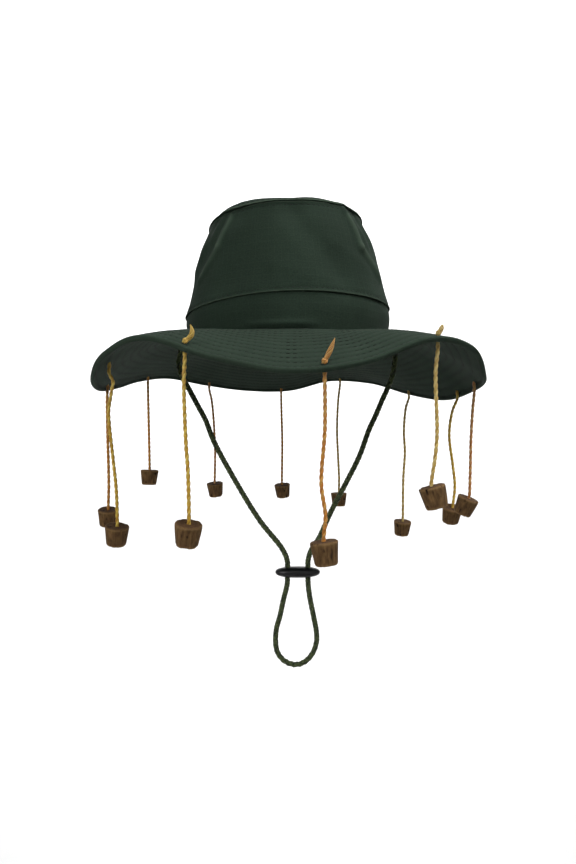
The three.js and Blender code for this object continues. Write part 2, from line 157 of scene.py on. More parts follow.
def brim_middle(angle, share):
    """Middle of the brim's cloth, from the seam (share 0) to the hem (1)."""
    angle, share = paired(angle, share)
    place, out = oval_at(angle, HEAD_WIDTH / 2, HEAD_LENGTH / 2)
    neck = neck_height(angle)
    fall = BRIM_WIDTH * smooth_at(HEM_WAVE, angle / 360 * len(HEM_WAVE), True) + neck
    curl = CURL_FRONT + (CURL_SIDE - CURL_FRONT) * np.sin(np.radians(angle)) ** 4
    arch = curl * BRIM_WIDTH
    chord = BRIM_WIDTH - 8 * arch * arch / (3 * BRIM_WIDTH)
    reach = np.sqrt(chord**2 - fall**2)
    place = place + out * (reach * share)[..., None]
    place[..., 2] = neck - fall * share + 4 * arch * share * (1 - share)
    return place


def fold_out(angle, rise, folds):
    """How far the folds push the crown's wall out."""
    angle, rise = paired(angle, rise)
    here = np.stack([np.radians(from_front(angle)) * HEAD_WIDTH / 2, rise * CROWN_HEIGHT], -1)
    out = 0 * here[..., 0]
    for start, end, height, spread in folds:
        a, b = (
            np.array([math.radians(turn) * HEAD_WIDTH / 2, up * CROWN_HEIGHT])
            for turn, up in (start, end)
        )
        t = np.clip(((here - a) @ (b - a)) / ((b - a) @ (b - a)), 0, 1)
        far = np.linalg.norm(here - a - t[..., None] * (b - a), axis=-1)
        out = out + height * CROWN_HEIGHT * bell(far, spread * CROWN_HEIGHT)
    return out


def crown_at(angle, rise, outwards=0):
    """Outer face of the crown's wall, from the brim's seam (rise 0) to the top panel's (1)."""
    angle, rise = paired(angle, rise)
    row = rise * (len(CROWN_WIDTHS) - 1)
    half_width = HEAD_WIDTH / 2 * smooth_at(CROWN_WIDTHS, row, False)
    half_length = HEAD_LENGTH / 2 * smooth_at(CROWN_LENGTHS, row, False)
    place, out = oval_at(angle, half_width, half_length)
    place = place + out * (fold_out(angle, rise, CROWN_FOLDS) + outwards)[..., None]
    lean = CROWN_LEAN * place[..., 0] * (1 - (1 - rise) ** 4)
    place[..., 0] += CROWN_SHIFT * rise * rise
    place[..., 2] = neck_height(angle) * (1 - rise) ** 6 + CROWN_HEIGHT * rise + lean
    return place


def normal_of(surface, angle, share):
    """Unit normals of a surface, on its outer or upper side."""
    around = surface(angle + 0.5, share) - surface(angle - 0.5, share)
    along = surface(angle, share + 0.01) - surface(angle, share - 0.01)
    normal = np.cross(around, along)
    return normal / np.linalg.norm(normal, axis=-1, keepdims=True)


def soft_noise(places, wave, seed):
    """Smooth random values from -1 to 1, about one wave each so many millimetres."""
    p = np.asarray(places) / wave + 31.7 * seed
    cell = np.floor(p).astype(np.int64)
    f = p - cell
    f = f * f * (3 - 2 * f)
    total = 0
    for corner in np.ndindex(2, 2, 2):
        n = (cell + corner) @ np.array([73856093, 19349663, 83492791]) + seed * 7919
        n = (n ^ (n >> 13)) * 1274126177 & 0xFFFFFFFF
        value = ((n ^ (n >> 16)) & 0xFFFF) / 32767.5 - 1
        total = total + value * np.prod(np.where(corner, f, 1 - f), axis=-1)
    return total


# %% [markdown]
# ## Routes of the cords
# Cords come before looks, because they decide how much room the hat takes. Each cork's string drops
# from its hole through the bends that the picture shows. The chin cord is one whole loop: down from
# the brim at each side, through the slide, round below it. Its points are given, and a smooth curve
# through them keeps the bends soft.

# %% Cord sizes and routes, in millimetres
STRING_DIAMETER = 2.8
STRING_STRAIGHT = 8
KNOT_DIAMETER = 4.8
CORK_TOP = 17.8
CORK_BOTTOM = 14.2
CORK_HEIGHT = 14.6
CORD_DIAMETER = 4
CORD_REACH = 7
CORD_STRAIGHT = 9
CORD_SHARE = CORD_REACH / BRIM_WIDTH

# angle and inset of the hole; cork's tilt sideways and forwards; length, lean and curl of the
# knot's tail; points of the string: sideways and down from the hole
HANGS = (
    (-21.5, 6.5, 7, 12, 10.5, 17, 2.6, ((-0.6, -23.2), (0.6, -60.2), (1.9, -79.2), (2.5, -110.7))),
    (7.5, 6.5, -7, 0, 15.5, 24, 0.4, ((0.1, -39), (-2.1, -73), (0.4, -92), (-0.7, -107.2))),
    (34, 6.5, -15, 0, 6, 26, 0.5, ((-1.4, -23.2), (-0.5, -62.2), (-1.7, -78.2), (-4.2, -96.4))),
    (80, 6.5, 20, 12, 5, -30, 0.3, ((-1.4, -23.3), (-2.8, -47.3), (-3.5, -77.3), (-4.4, -95.3))),
    (98, 6.5, 4, 18, 7, 70, 0.6,
     ((-4.4, -19.4), (-7.2, -40.4), (-4.2, -66.4), (-2.2, -86.4), (-4.2, -104.4))),
    (131, 6.5, 4, 10, 6, 60, 0.4, ((-3, -18), (-5, -42), (-4, -63), (-5.6, -90), (-6.2, -133))),
    (161, 6.5, 0, 0, 6, 40, 0.5, ((-2, -25), (-3.3, -59), (-2.2, -87), (-1, -114), (-1.4, -127.5))),
    (182.5, 6.5, -5, 10, 7, 10, 0.3, ((0.4, -28.9), (1.2, -58.9), (0.9, -107.7))),
    (209.5, 6.5, -4, 10, 6, -30, 0.5, ((2.5, -19.2), (4.9, -44.2), (6.3, -76.2), (5.9, -108.7))),
    (237, 6.5, 2, 0, 7, -60, 0.4, ((0.3, -25), (1.2, -65), (1.7, -93))),
    (272, 6.5, 3, 12, 6, -70, 0.3,
     ((-0.2, -12.9), (0, -32.9), (0.5, -51.9), (1.3, -84.9), (0.8, -106.4))),
    (303, 13.5, 6, 12, 4, 10, 0.6,
     ((2.8, -14.2), (1.6, -22.6), (-0.3, -36), (0.4, -48.3), (2.8, -70), (5.3, -94.5), (6, -119.4))),
)
CORD_ROUTE = (
    (-94, -14), (-91, -25), (-86, -34), (-78, -49), (-71, -62), (-64, -80), (-45, -115),
    (-24, -149), (-5, -173), (-0.7, -183), (-0.7, -193), (-0.7, -203), (-4, -217), (-7, -231),
    (-10, -242), (-10.6, -254), (-8.5, -263), (-2, -270), (7, -272.5), (14.5, -270), (21, -263),
    (24.3, -254), (24.6, -246), (22, -231), (18.8, -215), (17.3, -203), (17.3, -193),
    (17.3, -183), (20, -174), (27, -163), (36, -143), (48.5, -119), (61.5, -93), (69.5, -71),
    (75.5, -58), (81, -45), (86, -34), (90.5, -21),
)


def smooth_path(points, spacing):
    """Evenly spaced points on a smooth curve through the given ones."""
    p = np.asarray(points, float)
    p = np.vstack([2 * p[0] - p[1], p, 2 * p[-1] - p[-2]])
    fine = []
    for a, b, c, d in zip(p, p[1:], p[2:], p[3:]):
        knots = np.cumsum([0] + [np.linalg.norm(v) ** 0.5 for v in (b - a, c - b, d - c)])
        t = np.linspace(knots[1], knots[2], 24, endpoint=False)[:, None]

        def between(u, v, i, j):
            return (u * (knots[j] - t) + v * (t - knots[i])) / (knots[j] - knots[i])

        ab, bc, cd = between(a, b, 0, 1), between(b, c, 1, 2), between(c, d, 2, 3)
        fine.append(between(between(ab, bc, 0, 2), between(bc, cd, 1, 3), 1, 2))
    fine = np.vstack([*fine, p[-2:-1]])
    far = np.concatenate([[0], np.cumsum(np.linalg.norm(np.diff(fine, axis=0), axis=1))])
    steps = np.linspace(0, far[-1], max(2, round(far[-1] / spacing)) + 1)
    return np.stack([np.interp(steps, far, fine[:, k]) for k in range(3)], -1)


# %% [markdown]
# ## Small helpers
# A material or a geometry tree is a list of nodes and links. One helper adds a node with its settings
# and joins its inputs, so a tree reads from top to bottom like a recipe.

# %% Helpers
def linear(code):
    """An sRGB hex colour as linear red, green, blue and alpha."""
    parts = [int(code[i : i + 2], 16) / 255 for i in (1, 3, 5)]
    return [c / 12.92 if c <= 0.04045 else ((c + 0.055) / 1.055) ** 2.4 for c in parts] + [1]


def add(tree, kind, inputs=None, **settings):
    """Adds a node. An input is joined if it is another node's output, and set otherwise."""
    node = tree.nodes.new(kind)
    for name, value in settings.items():
        setattr(node, name, value)
    for key, value in (inputs or {}).items():
        if isinstance(value, bpy.types.NodeSocket):
            tree.links.new(value, node.inputs[key])
        else:
            node.inputs[key].default_value = value
    return node


def made(tree, kind, inputs=None, **settings):
    """First output of an added node."""
    return add(tree, kind, inputs, **settings).outputs[0]


def maths(tree, operation, a, b=0.0):
    return made(tree, "ShaderNodeMath", {0: a, 1: b}, operation=operation)


def product(tree, value, *factors):
    for factor in factors:
        value = maths(tree, "MULTIPLY", value, factor)
    return value


def scaled(tree, vector, amount):
    return made(tree, "ShaderNodeVectorMath", {0: vector, "Scale": amount}, operation="SCALE")


def stretched(tree, vector, amounts):
    return made(tree, "ShaderNodeVectorMath", {0: vector, 1: amounts}, operation="MULTIPLY")


def read(tree, attribute):
    """A value that the mesh stores at each point."""
    return add(tree, "ShaderNodeAttribute", attribute_name=attribute).outputs["Fac"]


def noise(tree, place, scale, detail, **more):
    inputs = {"Vector": place, "Scale": scale, "Detail": detail, **more}
    return add(tree, "ShaderNodeTexNoise", inputs).outputs["Fac"]


def ranged(tree, value, low, high, to_low, to_high):
    """A value carried from one range to another."""
    return made(tree, "ShaderNodeMapRange", {0: value, 1: low, 2: high, 3: to_low, 4: to_high})


def mixed(tree, amount, first, second):
    """A colour between two."""
    inputs = {0: amount, 6: first, 7: second}
    return add(tree, "ShaderNodeMix", inputs, data_type="RGBA").outputs[2]


def mesh_piece(name, vertices, faces=(), edges=(), material=None, uvs=None):
    """A mesh object from points in millimetres. uvs holds one place for each corner of each face."""
    mesh = bpy.data.meshes.new(name)
    mesh.from_pydata((np.asarray(vertices, float) * MM).tolist(), list(edges), list(faces))
    if uvs is not None:
        layer = mesh.uv_layers.new(name="cloth")
        layer.data.foreach_set("uv", (np.asarray(uvs, float) * MM).astype(np.float32).ravel())
    if len(mesh.polygons):
        mesh.polygons.foreach_set("use_smooth", [True] * len(mesh.polygons))
    if material:
        mesh.materials.append(material)
    mesh.update()
    piece = bpy.data.objects.new(name, mesh)
    bpy.context.collection.objects.link(piece)
    return piece


def path_piece(name, paths, closed=False):
    """Points in millimetres joined into one line or several."""
    vertices, edges = [], []
    for path in paths:
        first = len(vertices)
        vertices.extend(path)
        edges += [(first + i, first + i + 1) for i in range(len(path) - 1)]
        if closed:
            edges.append((len(vertices) - 1, first))
    return mesh_piece(name, vertices, edges=edges)


def grow(source, tree, **values):
    """Runs a geometry tree on an object, keeps the result as a plain mesh and drops the tree."""
    modifier = source.modifiers.new(tree.name, "NODES")
    modifier.node_group = tree
    for item in tree.interface.items_tree:
        if item.item_type == "SOCKET" and item.in_out == "INPUT" and item.name in values:
            modifier[item.identifier] = values[item.name]
    evaluated = source.evaluated_get(bpy.context.evaluated_depsgraph_get())
    mesh = bpy.data.meshes.new_from_object(evaluated)
    source.modifiers.remove(modifier)
    old, source.data = source.data, mesh
    bpy.data.meshes.remove(old)
    mesh.name = source.name
    return source


def finished(piece, slot, *nodes):
    """The piece stands for these solids, which are hidden, and hangs from the root. slot is not used."""
    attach(piece, "root")
    if nodes:
        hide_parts(*nodes)
    triangles = sum(len(p.vertices) - 2 for p in piece.data.polygons)
    print(piece.name, triangles, "triangles")
    return piece


# %% [markdown]
# ## Ripstop cotton
# The hat is a plain-weave cotton poplin with a thicker thread every few millimetres each way, which
# stops a tear. It was dyed in the piece and has been washed, so it is matt and soft, with a faint
# bloom at grazing angles. Its edges and ridges are painted a little lighter: a painted highlight. A
# cloth photograph would tile and show its own light. Here the weave is drawn from its thread spacing
# in the panel's own flat coordinates, so the grain runs as it was cut.

# %% Cloth material
RIPSTOP_CELL = 5.2  # millimetres between the thick threads
GRID_SHOWS = 0.05  # how much paler the thick threads are
THREAD_SPACING = 0.75  # drawn about twice as coarse as the real weave, so that it shows


def wave_scale(period):
    """Scale of a Wave texture whose bands lie so many millimetres apart."""
    return 2 * math.pi / (20 * period * MM)


def bump_on(tree, height, strength, distance, below=None):
    inputs = {"Strength": strength, "Distance": distance * MM, "Height": height}
    if below:
        inputs["Normal"] = below
    return made(tree, "ShaderNodeBump", inputs)


def new_material(name, colour, roughness):
    material = bpy.data.materials.new(name)
    material.use_nodes = True
    material.diffuse_color = linear(colour)
    shader = material.node_tree.nodes["Principled BSDF"]
    shader.inputs["Base Color"].default_value = linear(colour)
    shader.inputs["Roughness"].default_value = roughness
    return material, material.node_tree, shader


def ripstop_cotton(name, colour, highlight_colour):
    material, tree, shader = new_material(name, colour, 0.9)
    flat = made(tree, "ShaderNodeUVMap", uv_map="cloth")
    place = add(tree, "ShaderNodeTexCoord").outputs["Object"]
    cell = RIPSTOP_CELL * MM
    grid = add(tree, "ShaderNodeTexBrick", {
        "Vector": flat, "Color1": (0, 0, 0, 1), "Color2": (0, 0, 0, 1), "Mortar": (1, 1, 1, 1),
        "Scale": 1, "Mortar Size": 0.05 * cell, "Mortar Smooth": 1, "Brick Width": cell,
        "Row Height": cell,
    }, offset=0, squash=1).outputs["Fac"]
    warp, weft = (
        add(tree, "ShaderNodeTexWave", {"Vector": flat, "Scale": wave_scale(THREAD_SPACING)},
            bands_direction=way).outputs["Fac"]
        for way in "XY"
    )
    weave = maths(tree, "MAXIMUM", warp, weft)
    slub, fade = noise(tree, flat, 900, 3), noise(tree, place, 24, 4)
    shade = ranged(tree, slub, 0.3, 0.7, 0.84, 1.16)
    cloud = ranged(tree, fade, 0.3, 0.7, 0.9, 1.1)
    dyed = scaled(tree, linear(colour)[:3], product(tree, shade, cloud))
    # Paler where edges and ridges carry a painted highlight, and along the ripstop's thick threads.
    pale = maths(tree, "MAXIMUM", read(tree, "worn"), product(tree, grid, GRID_SHOWS))
    tree.links.new(mixed(tree, pale, dyed, linear(highlight_colour)), shader.inputs["Base Color"])

    threads = bump_on(tree, weave, 0.35, 0.12)
    ribs = bump_on(tree, grid, 0.5, 0.18, threads)
    hand = bump_on(tree, fade, 0.25, 0.6, ribs)
    tree.links.new(hand, shader.inputs["Normal"])
    shader.inputs["Sheen Weight"].default_value = 0.015
    shader.inputs["Sheen Roughness"].default_value = 0.5
    shader.inputs["Specular IOR Level"].default_value = 0.06
    return material


# The second colour is the paler green of the painted highlight on edges and ridges.
green_ripstop = ripstop_cotton("ripstop_cotton_green", "#243027", "#4c5a4c")

# %% [markdown]
# ## Panels of cloth
# Each panel is a closed ring: a section with two faces and a rounded edge, repeated round the head.
# A lathe could not follow the waves, and one subdivided box would blur the stitched grooves, so the
# section is worked out for each angle. The panel's flat coordinates go with it for the weave.

# %% Ring of sections
AROUND = 400  # sections round each panel


def ring_piece(name, sections, material, worn=0, flat=None, poles=False):
    """A closed ring of sections, with the flat place of each point for a weave. flat has one
    section more than sections has, so that the weave meets itself only at the back seam. With
    poles, all sections start at one point and end at another."""
    count, size = sections.shape[:2]
    if flat is None:
        flat = np.zeros((count + 1, size, 2))
    i, j = np.meshgrid(np.arange(count), np.arange(size - poles), indexing="ij")
    i, j = i.ravel(), j.ravel()
    ii, jj = (i + 1) % count, (j + 1) % size
    faces = np.stack([i * size + j, ii * size + j, ii * size + jj, i * size + jj], -1)
    uvs = np.stack([flat[i, j], flat[i + 1, j], flat[i + 1, jj], flat[i, jj]], 1)
    piece = mesh_piece(name, sections.reshape(-1, 3), faces.tolist(), material=material, uvs=uvs)
    # A painted highlight: how far each point is painted paler.
    piece.data.attributes.new("worn", "FLOAT", "POINT").data.foreach_set(
        "value", np.broadcast_to(worn, (count, size)).astype(np.float32).ravel())
    shape = bmesh.new()
    shape.from_mesh(piece.data)
    bmesh.ops.remove_doubles(shape, verts=shape.verts, dist=1e-6)
    if shape.calc_volume(signed=True) < 0:
        bmesh.ops.reverse_faces(shape, faces=shape.faces)
    shape.to_mesh(piece.data)
    shape.free()
    return piece


def arc_flat(places):
    """Flat coordinates of a wall unrolled from the back seam: arc length round it, and height."""
    around = np.linalg.norm(np.diff(np.concatenate([places, places[:1]]), axis=0), axis=-1)
    far = np.concatenate([0 * around[:1], np.cumsum(around, axis=0)])
    height = np.concatenate([places[..., 2], places[:1, :, 2]])
    middle = far.shape[1] // 4
    return np.stack([np.broadcast_to(far[:, middle : middle + 1], far.shape), height], -1)


turns = (180 + 360 * np.arange(AROUND) / AROUND)[:, None]

# %% [markdown]
# ## The brim
# Two layers of cloth are stitched together in rows that run round the hat, about eight millimetres
# apart. Each row pulls the layers thin and the cloth between swells, and the thread gathers it into
# small puckers. The hem is the cloth turned under, a soft roll of four millimetres. The rows are
# part of the shape rather than a bump, because they catch the light at the edge of the picture.

# %% Brim
ROWS = 11
FIRST_ROW = 3.8  # from the hem
ROW_STEP = 7.5
HEM_ROLL = 1.5  # how far the turned hem stands above the middle of the cloth
HEM_UNDER = 2.6  # and below it, where the cloth is turned under
ROW_THIN = 0.85  # half the thickness of the brim in a stitched row
PUFF = 0.24  # swell between the rows
GATHER, PUCKER, WANDER = 0.16, 0.1, 0.5  # heights of the cloth's small unevenness, finest second


def brim_face(inwards, puff, hem_height):
    """Half thickness of the brim at a distance in from the hem."""
    phase = (inwards - FIRST_ROW) / ROW_STEP
    swell = ROW_THIN + puff * np.abs(np.sin(np.pi * phase)) ** 0.7
    roll = hem_height * np.sqrt(np.clip(1 - ((HEM_ROLL - inwards) / HEM_ROLL) ** 2, 0, 1))
    slope = np.clip((inwards - HEM_ROLL) / (FIRST_ROW - HEM_ROLL), 0, 1)
    hem = hem_height + (ROW_THIN - hem_height) * slope**1.6
    return np.where(inwards < HEM_ROLL, roll, np.where(inwards < FIRST_ROW, hem, swell))


def brim_surface(angle, inwards, side, puff=PUFF):
    """Upper (side 1) or lower (side -1) face of the stitched brim."""
    angle, inwards = paired(angle, inwards)
    share = 1 - inwards / BRIM_WIDTH
    place = brim_middle(angle, share)
    normal = -normal_of(brim_middle, angle, share)
    sideways = np.stack([angle * 2.8, inwards * 0.45, 0 * angle], -1)
    gathers = GATHER * soft_noise(sideways, 11, 3) + PUCKER * soft_noise(place, 6, 4)
    wander = WANDER * share * soft_noise(place, 38, 5)
    fade = np.clip(inwards / 4, 0.25, 1)
    hem_height = HEM_ROLL if side > 0 else HEM_UNDER
    height = side * brim_face(inwards, puff, hem_height) + wander + gathers * fade
    return place + normal * height[..., None]


inner_edge = BRIM_WIDTH + 2 * CLOTH + GAP  # reaches into the band, which is sewn to it
swells = FIRST_ROW + ROW_STEP * np.arange(0, ROWS + 0.35, 1 / 6)
roll_turn = np.radians(np.arange(0, 90, 15))
inwards = np.concatenate([
    HEM_ROLL * (1 - np.cos(roll_turn)), [HEM_ROLL, 2.2, 3, 3.5], swells[swells < BRIM_WIDTH - 0.5],
    [inner_edge],
])
upper = brim_surface(turns, inwards[None], 1)
lower = brim_surface(turns, inwards[None, 1:], -1, 0.8 * PUFF)
brim_places = np.concatenate([upper[:, ::-1], lower], 1)
brim_inwards = np.concatenate([inwards[::-1], inwards[1:]])
flat_turns = np.concatenate([turns, turns[:1] + 360])
flat_place, flat_out = oval_at(flat_turns + 0 * brim_inwards, HEAD_WIDTH / 2, HEAD_LENGTH / 2)
brim_flat = (flat_place + flat_out * (BRIM_WIDTH - brim_inwards)[None, :, None])[..., :2]
# The hem's roll and the swells between the rows are painted paler: a painted highlight.
hem_highlight = 0.22 * bell(brim_inwards, 1.6)
swell_highlight = 0.1 * np.abs(np.sin(np.pi * (brim_inwards - FIRST_ROW) / ROW_STEP))
brim = ring_piece("brim_cloth", brim_places, green_ripstop,
                  np.maximum(hem_highlight, swell_highlight)[None], brim_flat)
finished(brim, "cotton_cloth", "brim")

# %% [markdown]
# ## The crown
# The wall is one strip that narrows to the top, with its lower edge turned in and lapped over the
# band. Cloth without a lining stands in a few soft creases from the top seam to the sides. The folds
# of the solid model are kept, and the two front ones get a sharper ridge, because a crease in cotton
# is narrow at its top.

# %% Crown panels
CREASES = (
    ((-38, 0.98), (-44, 0.72), 0.018, 0.032),
    ((-44, 0.72), (-60, 0.5), 0.014, 0.038),
    ((-54, 0.95), (-58, 0.72), -0.012, 0.06),
    ((42, 0.98), (48, 0.68), 0.02, 0.032),
    ((48, 0.68), (66, 0.48), 0.016, 0.038),
    ((57, 0.95), (61, 0.7), -0.012, 0.06),
    ((24, 0.7), (52, 0.5), 0.005, 0.05),
    ((-8, 0.5), (22, 0.36), 0.005, 0.06),
)
# Where the wall tucks in under the top panel: angle, how far in, how wide in degrees
TUCKS = ((-40, 2.2, 14), (50, 1.3, 12))
TUCK_HEIGHT = 2.4
# The ridges painted paler, a painted highlight, as folds whose height stands for how pale they are
RIDGE_HIGHLIGHTS = (
    ((-38, 0.94), (-44, 0.72), 0.0042, 0.022),
    ((-44, 0.72), (-58, 0.54), 0.0032, 0.03),
    ((43, 0.93), (48, 0.68), 0.005, 0.022),
    ((48, 0.68), (63, 0.52), 0.0036, 0.03),
)
# Where the top panel stands fuller over its seam: angle, how much fuller, how wide in degrees
TIP_SHOULDERS = ((-38, 2.5, 22), (24, 0.6, 14))
CROWN_SOFT, CROWN_PUCKER = 0.45, 0.16  # heights of the cloth's own unevenness, wide and fine
STITCH_INSET = 2.8  # from a panel's edge to its row of stitches
GROOVE, GROOVE_WIDTH = 0.28, 0.8  # how deep a row of stitches pulls the cloth in, and how wide
TURNED_EDGE = 0.9  # half the thickness of a turned edge
FOOT_ROLL, FOOT_ROLL_AT = 1.6, -3  # how far the band's foot rolls out in front, and where
LAP_DROP_RIGHT, LAP_DROP_LEFT = 5.2, 3  # how much lower the lap hangs at the sides


def groove_at(distance):
    return GROOVE * bell(distance, GROOVE_WIDTH)


def crown_relief(angle, rise):
    """Creases and the cloth's own softness."""
    place = crown_at(angle, rise)
    soft = CROWN_SOFT * soft_noise(place, 27, 11) + CROWN_PUCKER * soft_noise(place, 10, 12)
    return fold_out(angle, rise, CREASES) + soft


def lap_height(angle):
    """The wall's lower edge, which hangs lower at the sides, most at the wearer's right."""
    s = np.sin(np.radians(angle))
    return BAND_HEIGHT - np.where(s < 0, LAP_DROP_RIGHT, LAP_DROP_LEFT) * s * s


def wall_surface(angle, height, outwards):
    """Crown's wall at a height above the seam of the brim, in millimetres."""
    rise = height / CROWN_HEIGHT
    lower_row = groove_at(height - lap_height(angle) - STITCH_INSET)
    upper_row = groove_at(CROWN_HEIGHT - STITCH_INSET - height)
    for middle, depth, spread in TUCKS:
        beside = bell(from_front(angle) - middle, spread)
        upper_row = upper_row + depth * beside * bell(CROWN_HEIGHT - height, TUCK_HEIGHT)
    relief = crown_relief(angle, rise) * np.clip((height - lap_height(angle)) / 12 + 0.15, 0, 1)
    return crown_at(angle, rise, outwards + relief - lower_row - upper_row)


def edge_heights(low, high, step):
    """Heights between two edges, closer together near each edge."""
    middle = np.linspace(low + 5, high - 5, round((high - low - 10) / step) + 1)
    return np.concatenate([low + np.arange(0.9, 5, 0.7), middle, high - np.arange(4.3, 0.5, -0.7)])


even_heights = edge_heights(BAND_HEIGHT, CROWN_HEIGHT, 1.6)[None]
above_lap = (CROWN_HEIGHT - even_heights) / (CROWN_HEIGHT - BAND_HEIGHT)
wall_heights = even_heights + above_lap * (lap_height(turns) - BAND_HEIGHT)
edge_turn = np.radians(np.arange(-75, 90, 30))[None]
inner_heights = wall_heights[:, ::-3]
lap = wall_surface(turns, lap_height(turns) + TURNED_EDGE - TURNED_EDGE * np.cos(edge_turn),
                   TURNED_EDGE * np.sin(edge_turn) - CLOTH / 2)
top_turn = edge_turn[:, ::-1]
top = wall_surface(turns, CROWN_HEIGHT - 0.5 + 0.7 * np.cos(top_turn),
                   0.7 * np.sin(top_turn) - CLOTH / 2)
outer = wall_surface(turns, wall_heights, 0)
inner = wall_surface(turns, inner_heights, -CLOTH)
wall_places = np.concatenate([lap, outer, top, inner], 1)
# The lap's turned edge and the wall's top edge are painted paler: a painted highlight.
wall_edge_highlight = np.concatenate([np.full(lap.shape[1], 0.5), np.zeros(outer.shape[1]),
                             np.full(top.shape[1], 0.3), np.zeros(inner.shape[1])])
# The front ridges are painted paler too: a painted highlight.
ridge_highlight_share = np.zeros(wall_places.shape[:2])
ridge_highlight_share[:, lap.shape[1] : lap.shape[1] + outer.shape[1]] = fold_out(
    turns, wall_heights / CROWN_HEIGHT, RIDGE_HIGHLIGHTS)
wall = ring_piece("crown_wall_cloth", wall_places, green_ripstop,
                  np.maximum(wall_edge_highlight[None], ridge_highlight_share), arc_flat(wall_places))
finished(wall, "cotton_cloth", "crown_wall")

band_heights = np.linspace(0.3, BAND_HEIGHT + BAND_LAP, 26)[None]
band_relief = 0.22 * soft_noise(crown_at(turns, band_heights / CROWN_HEIGHT), 16, 21)
in_front = np.exp(-(((from_front(turns) - FOOT_ROLL_AT) / 17) ** 4))
band_relief = band_relief + FOOT_ROLL * in_front * (
    bell(band_heights - 5.5, 2.4) - 0.5 * bell(band_heights, 2.2))
band_inset = CLOTH + GAP
band_places = np.concatenate([
    crown_at(turns, band_heights / CROWN_HEIGHT, band_relief - band_inset),
    crown_at(turns, band_heights[:, ::-1] / CROWN_HEIGHT, band_relief[:, ::-1] - band_inset - CLOTH),
], 1)
band = ring_piece("crown_band_cloth", band_places, green_ripstop, 0, arc_flat(band_places))
finished(band, "cotton_cloth", "crown_band")


def tip_surface(angle, share, lift):
    """Top panel, from its middle (share 0) to its seam (1)."""
    edge = crown_at(angle, 1, TIP_LAP + 0.6 * crown_relief(angle, 1.0))
    place = edge * share[..., None]
    full = TIP_FULLNESS + sum(
        more * bell(from_front(angle) - at, wide) for at, more, wide in TIP_SHOULDERS)
    dome = TIP_DOME * (1 - share**full)
    place[..., 2] = CROWN_HEIGHT + GAP + lift + dome + CROWN_LEAN * place[..., 0]
    return place


half_tip = (HEAD_WIDTH * CROWN_WIDTHS[-1] + HEAD_LENGTH * CROWN_LENGTHS[-1]) / 4
tip_inwards = np.concatenate([[0.7, 1.3, 1.8, 2.3, 2.8, 3.3, 4], np.arange(5.5, half_tip, 2)])
upper_share = np.concatenate([1 - tip_inwards / half_tip, [0]])[None]
tip_row = groove_at((1 - upper_share) * half_tip - STITCH_INSET)
tip_soft = 0.35 * soft_noise(tip_surface(turns, upper_share + 0 * turns, 0), 24, 31)
tip_upper = tip_surface(turns, upper_share + 0 * turns, CLOTH - tip_row + tip_soft * upper_share)
rim_turn = np.radians(np.arange(75, -90, -30))[None]
tip_rim = tip_surface(turns, 1 - 0.6 / half_tip * (1 - np.cos(rim_turn)) + 0 * turns,
                      0.6 + 0.6 * np.sin(rim_turn))
tip_lower = tip_surface(turns, upper_share[:, 1:] + 0 * turns,
                        (tip_soft * upper_share)[:, 1:])
tip_places = np.concatenate([tip_upper[:, ::-1], tip_rim, tip_lower], 1)
tip_flat = np.concatenate([tip_places, tip_places[:1]])[..., :2]
# The rim of the top panel is painted paler: a painted highlight.
tip_rim_highlight = np.zeros(tip_places.shape[1])
tip_rim_highlight[tip_upper.shape[1] : tip_upper.shape[1] + 4] = 0.5
tip = ring_piece("crown_tip_cloth", tip_places, green_ripstop, tip_rim_highlight[None], tip_flat, poles=True)
finished(tip, "cotton_cloth", "crown_tip")

# %% [markdown]
# ## Stitches
# Lockstitch thread shows as short dashes that dive into the cloth at both ends. There are thousands,
# so Geometry Nodes put one small stretched ball at even steps along each row, turned to follow it.
# Painting them on would leave the rows flat.

# %% Stitch tree
STITCH_PITCH = 4.4
STITCH_LENGTH = 3.1
THREAD_DIAMETER = 0.6


def new_tree(name, sizes):
    """An empty geometry tree with named inputs for its sizes and one for its material."""
    tree = bpy.data.node_groups.new(name, "GeometryNodeTree")
    tree.interface.new_socket("Geometry", in_out="INPUT", socket_type="NodeSocketGeometry")
    for title, value in sizes.items():
        kind = "NodeSocketInt" if isinstance(value, int) else "NodeSocketFloat"
        tree.interface.new_socket(title, in_out="INPUT", socket_type=kind).default_value = value
    tree.interface.new_socket("Material", in_out="INPUT", socket_type="NodeSocketMaterial")
    tree.interface.new_socket("Geometry", in_out="OUTPUT", socket_type="NodeSocketGeometry")
    return tree, add(tree, "NodeGroupInput").outputs


def finish_tree(tree, geometry, material):
    real = made(tree, "GeometryNodeRealizeInstances", {"Geometry": geometry})
    smooth = made(tree, "GeometryNodeSetShadeSmooth", {0: real})
    dyed = made(tree, "GeometryNodeSetMaterial", {"Geometry": smooth, "Material": material})
    add(tree, "NodeGroupOutput", {0: dyed})
    return tree


def even_steps(tree, lines, step):
    """Mesh lines as curves with points at even steps."""
    curve = made(tree, "GeometryNodeMeshToCurve", {"Mesh": lines})
    return made(tree, "GeometryNodeResampleCurve", {"Curve": curve, "Length": step}, mode="LENGTH")


def stitch_tree():
    tree, given = new_tree("stitches", {"Pitch": 0.0044, "Length": 0.0031, "Thread": 0.0006})
    steps = even_steps(tree, given["Geometry"], given["Pitch"])
    along = made(tree, "GeometryNodeInputTangent")
    turn = made(tree, "FunctionNodeAlignRotationToVector", {"Vector": along}, axis="X")
    ball = made(tree, "GeometryNodeMeshUVSphere", {"Segments": 6, "Rings": 4, "Radius": 0.5})
    size = made(tree, "ShaderNodeCombineXYZ",
                {0: given["Length"], 1: given["Thread"], 2: given["Thread"]})
    stitch = made(tree, "GeometryNodeTransform", {"Geometry": ball, "Scale": size})
    rows = made(tree, "GeometryNodeInstanceOnPoints",
                {"Points": steps, "Instance": stitch, "Rotation": turn})
    return finish_tree(tree, rows, given["Material"])


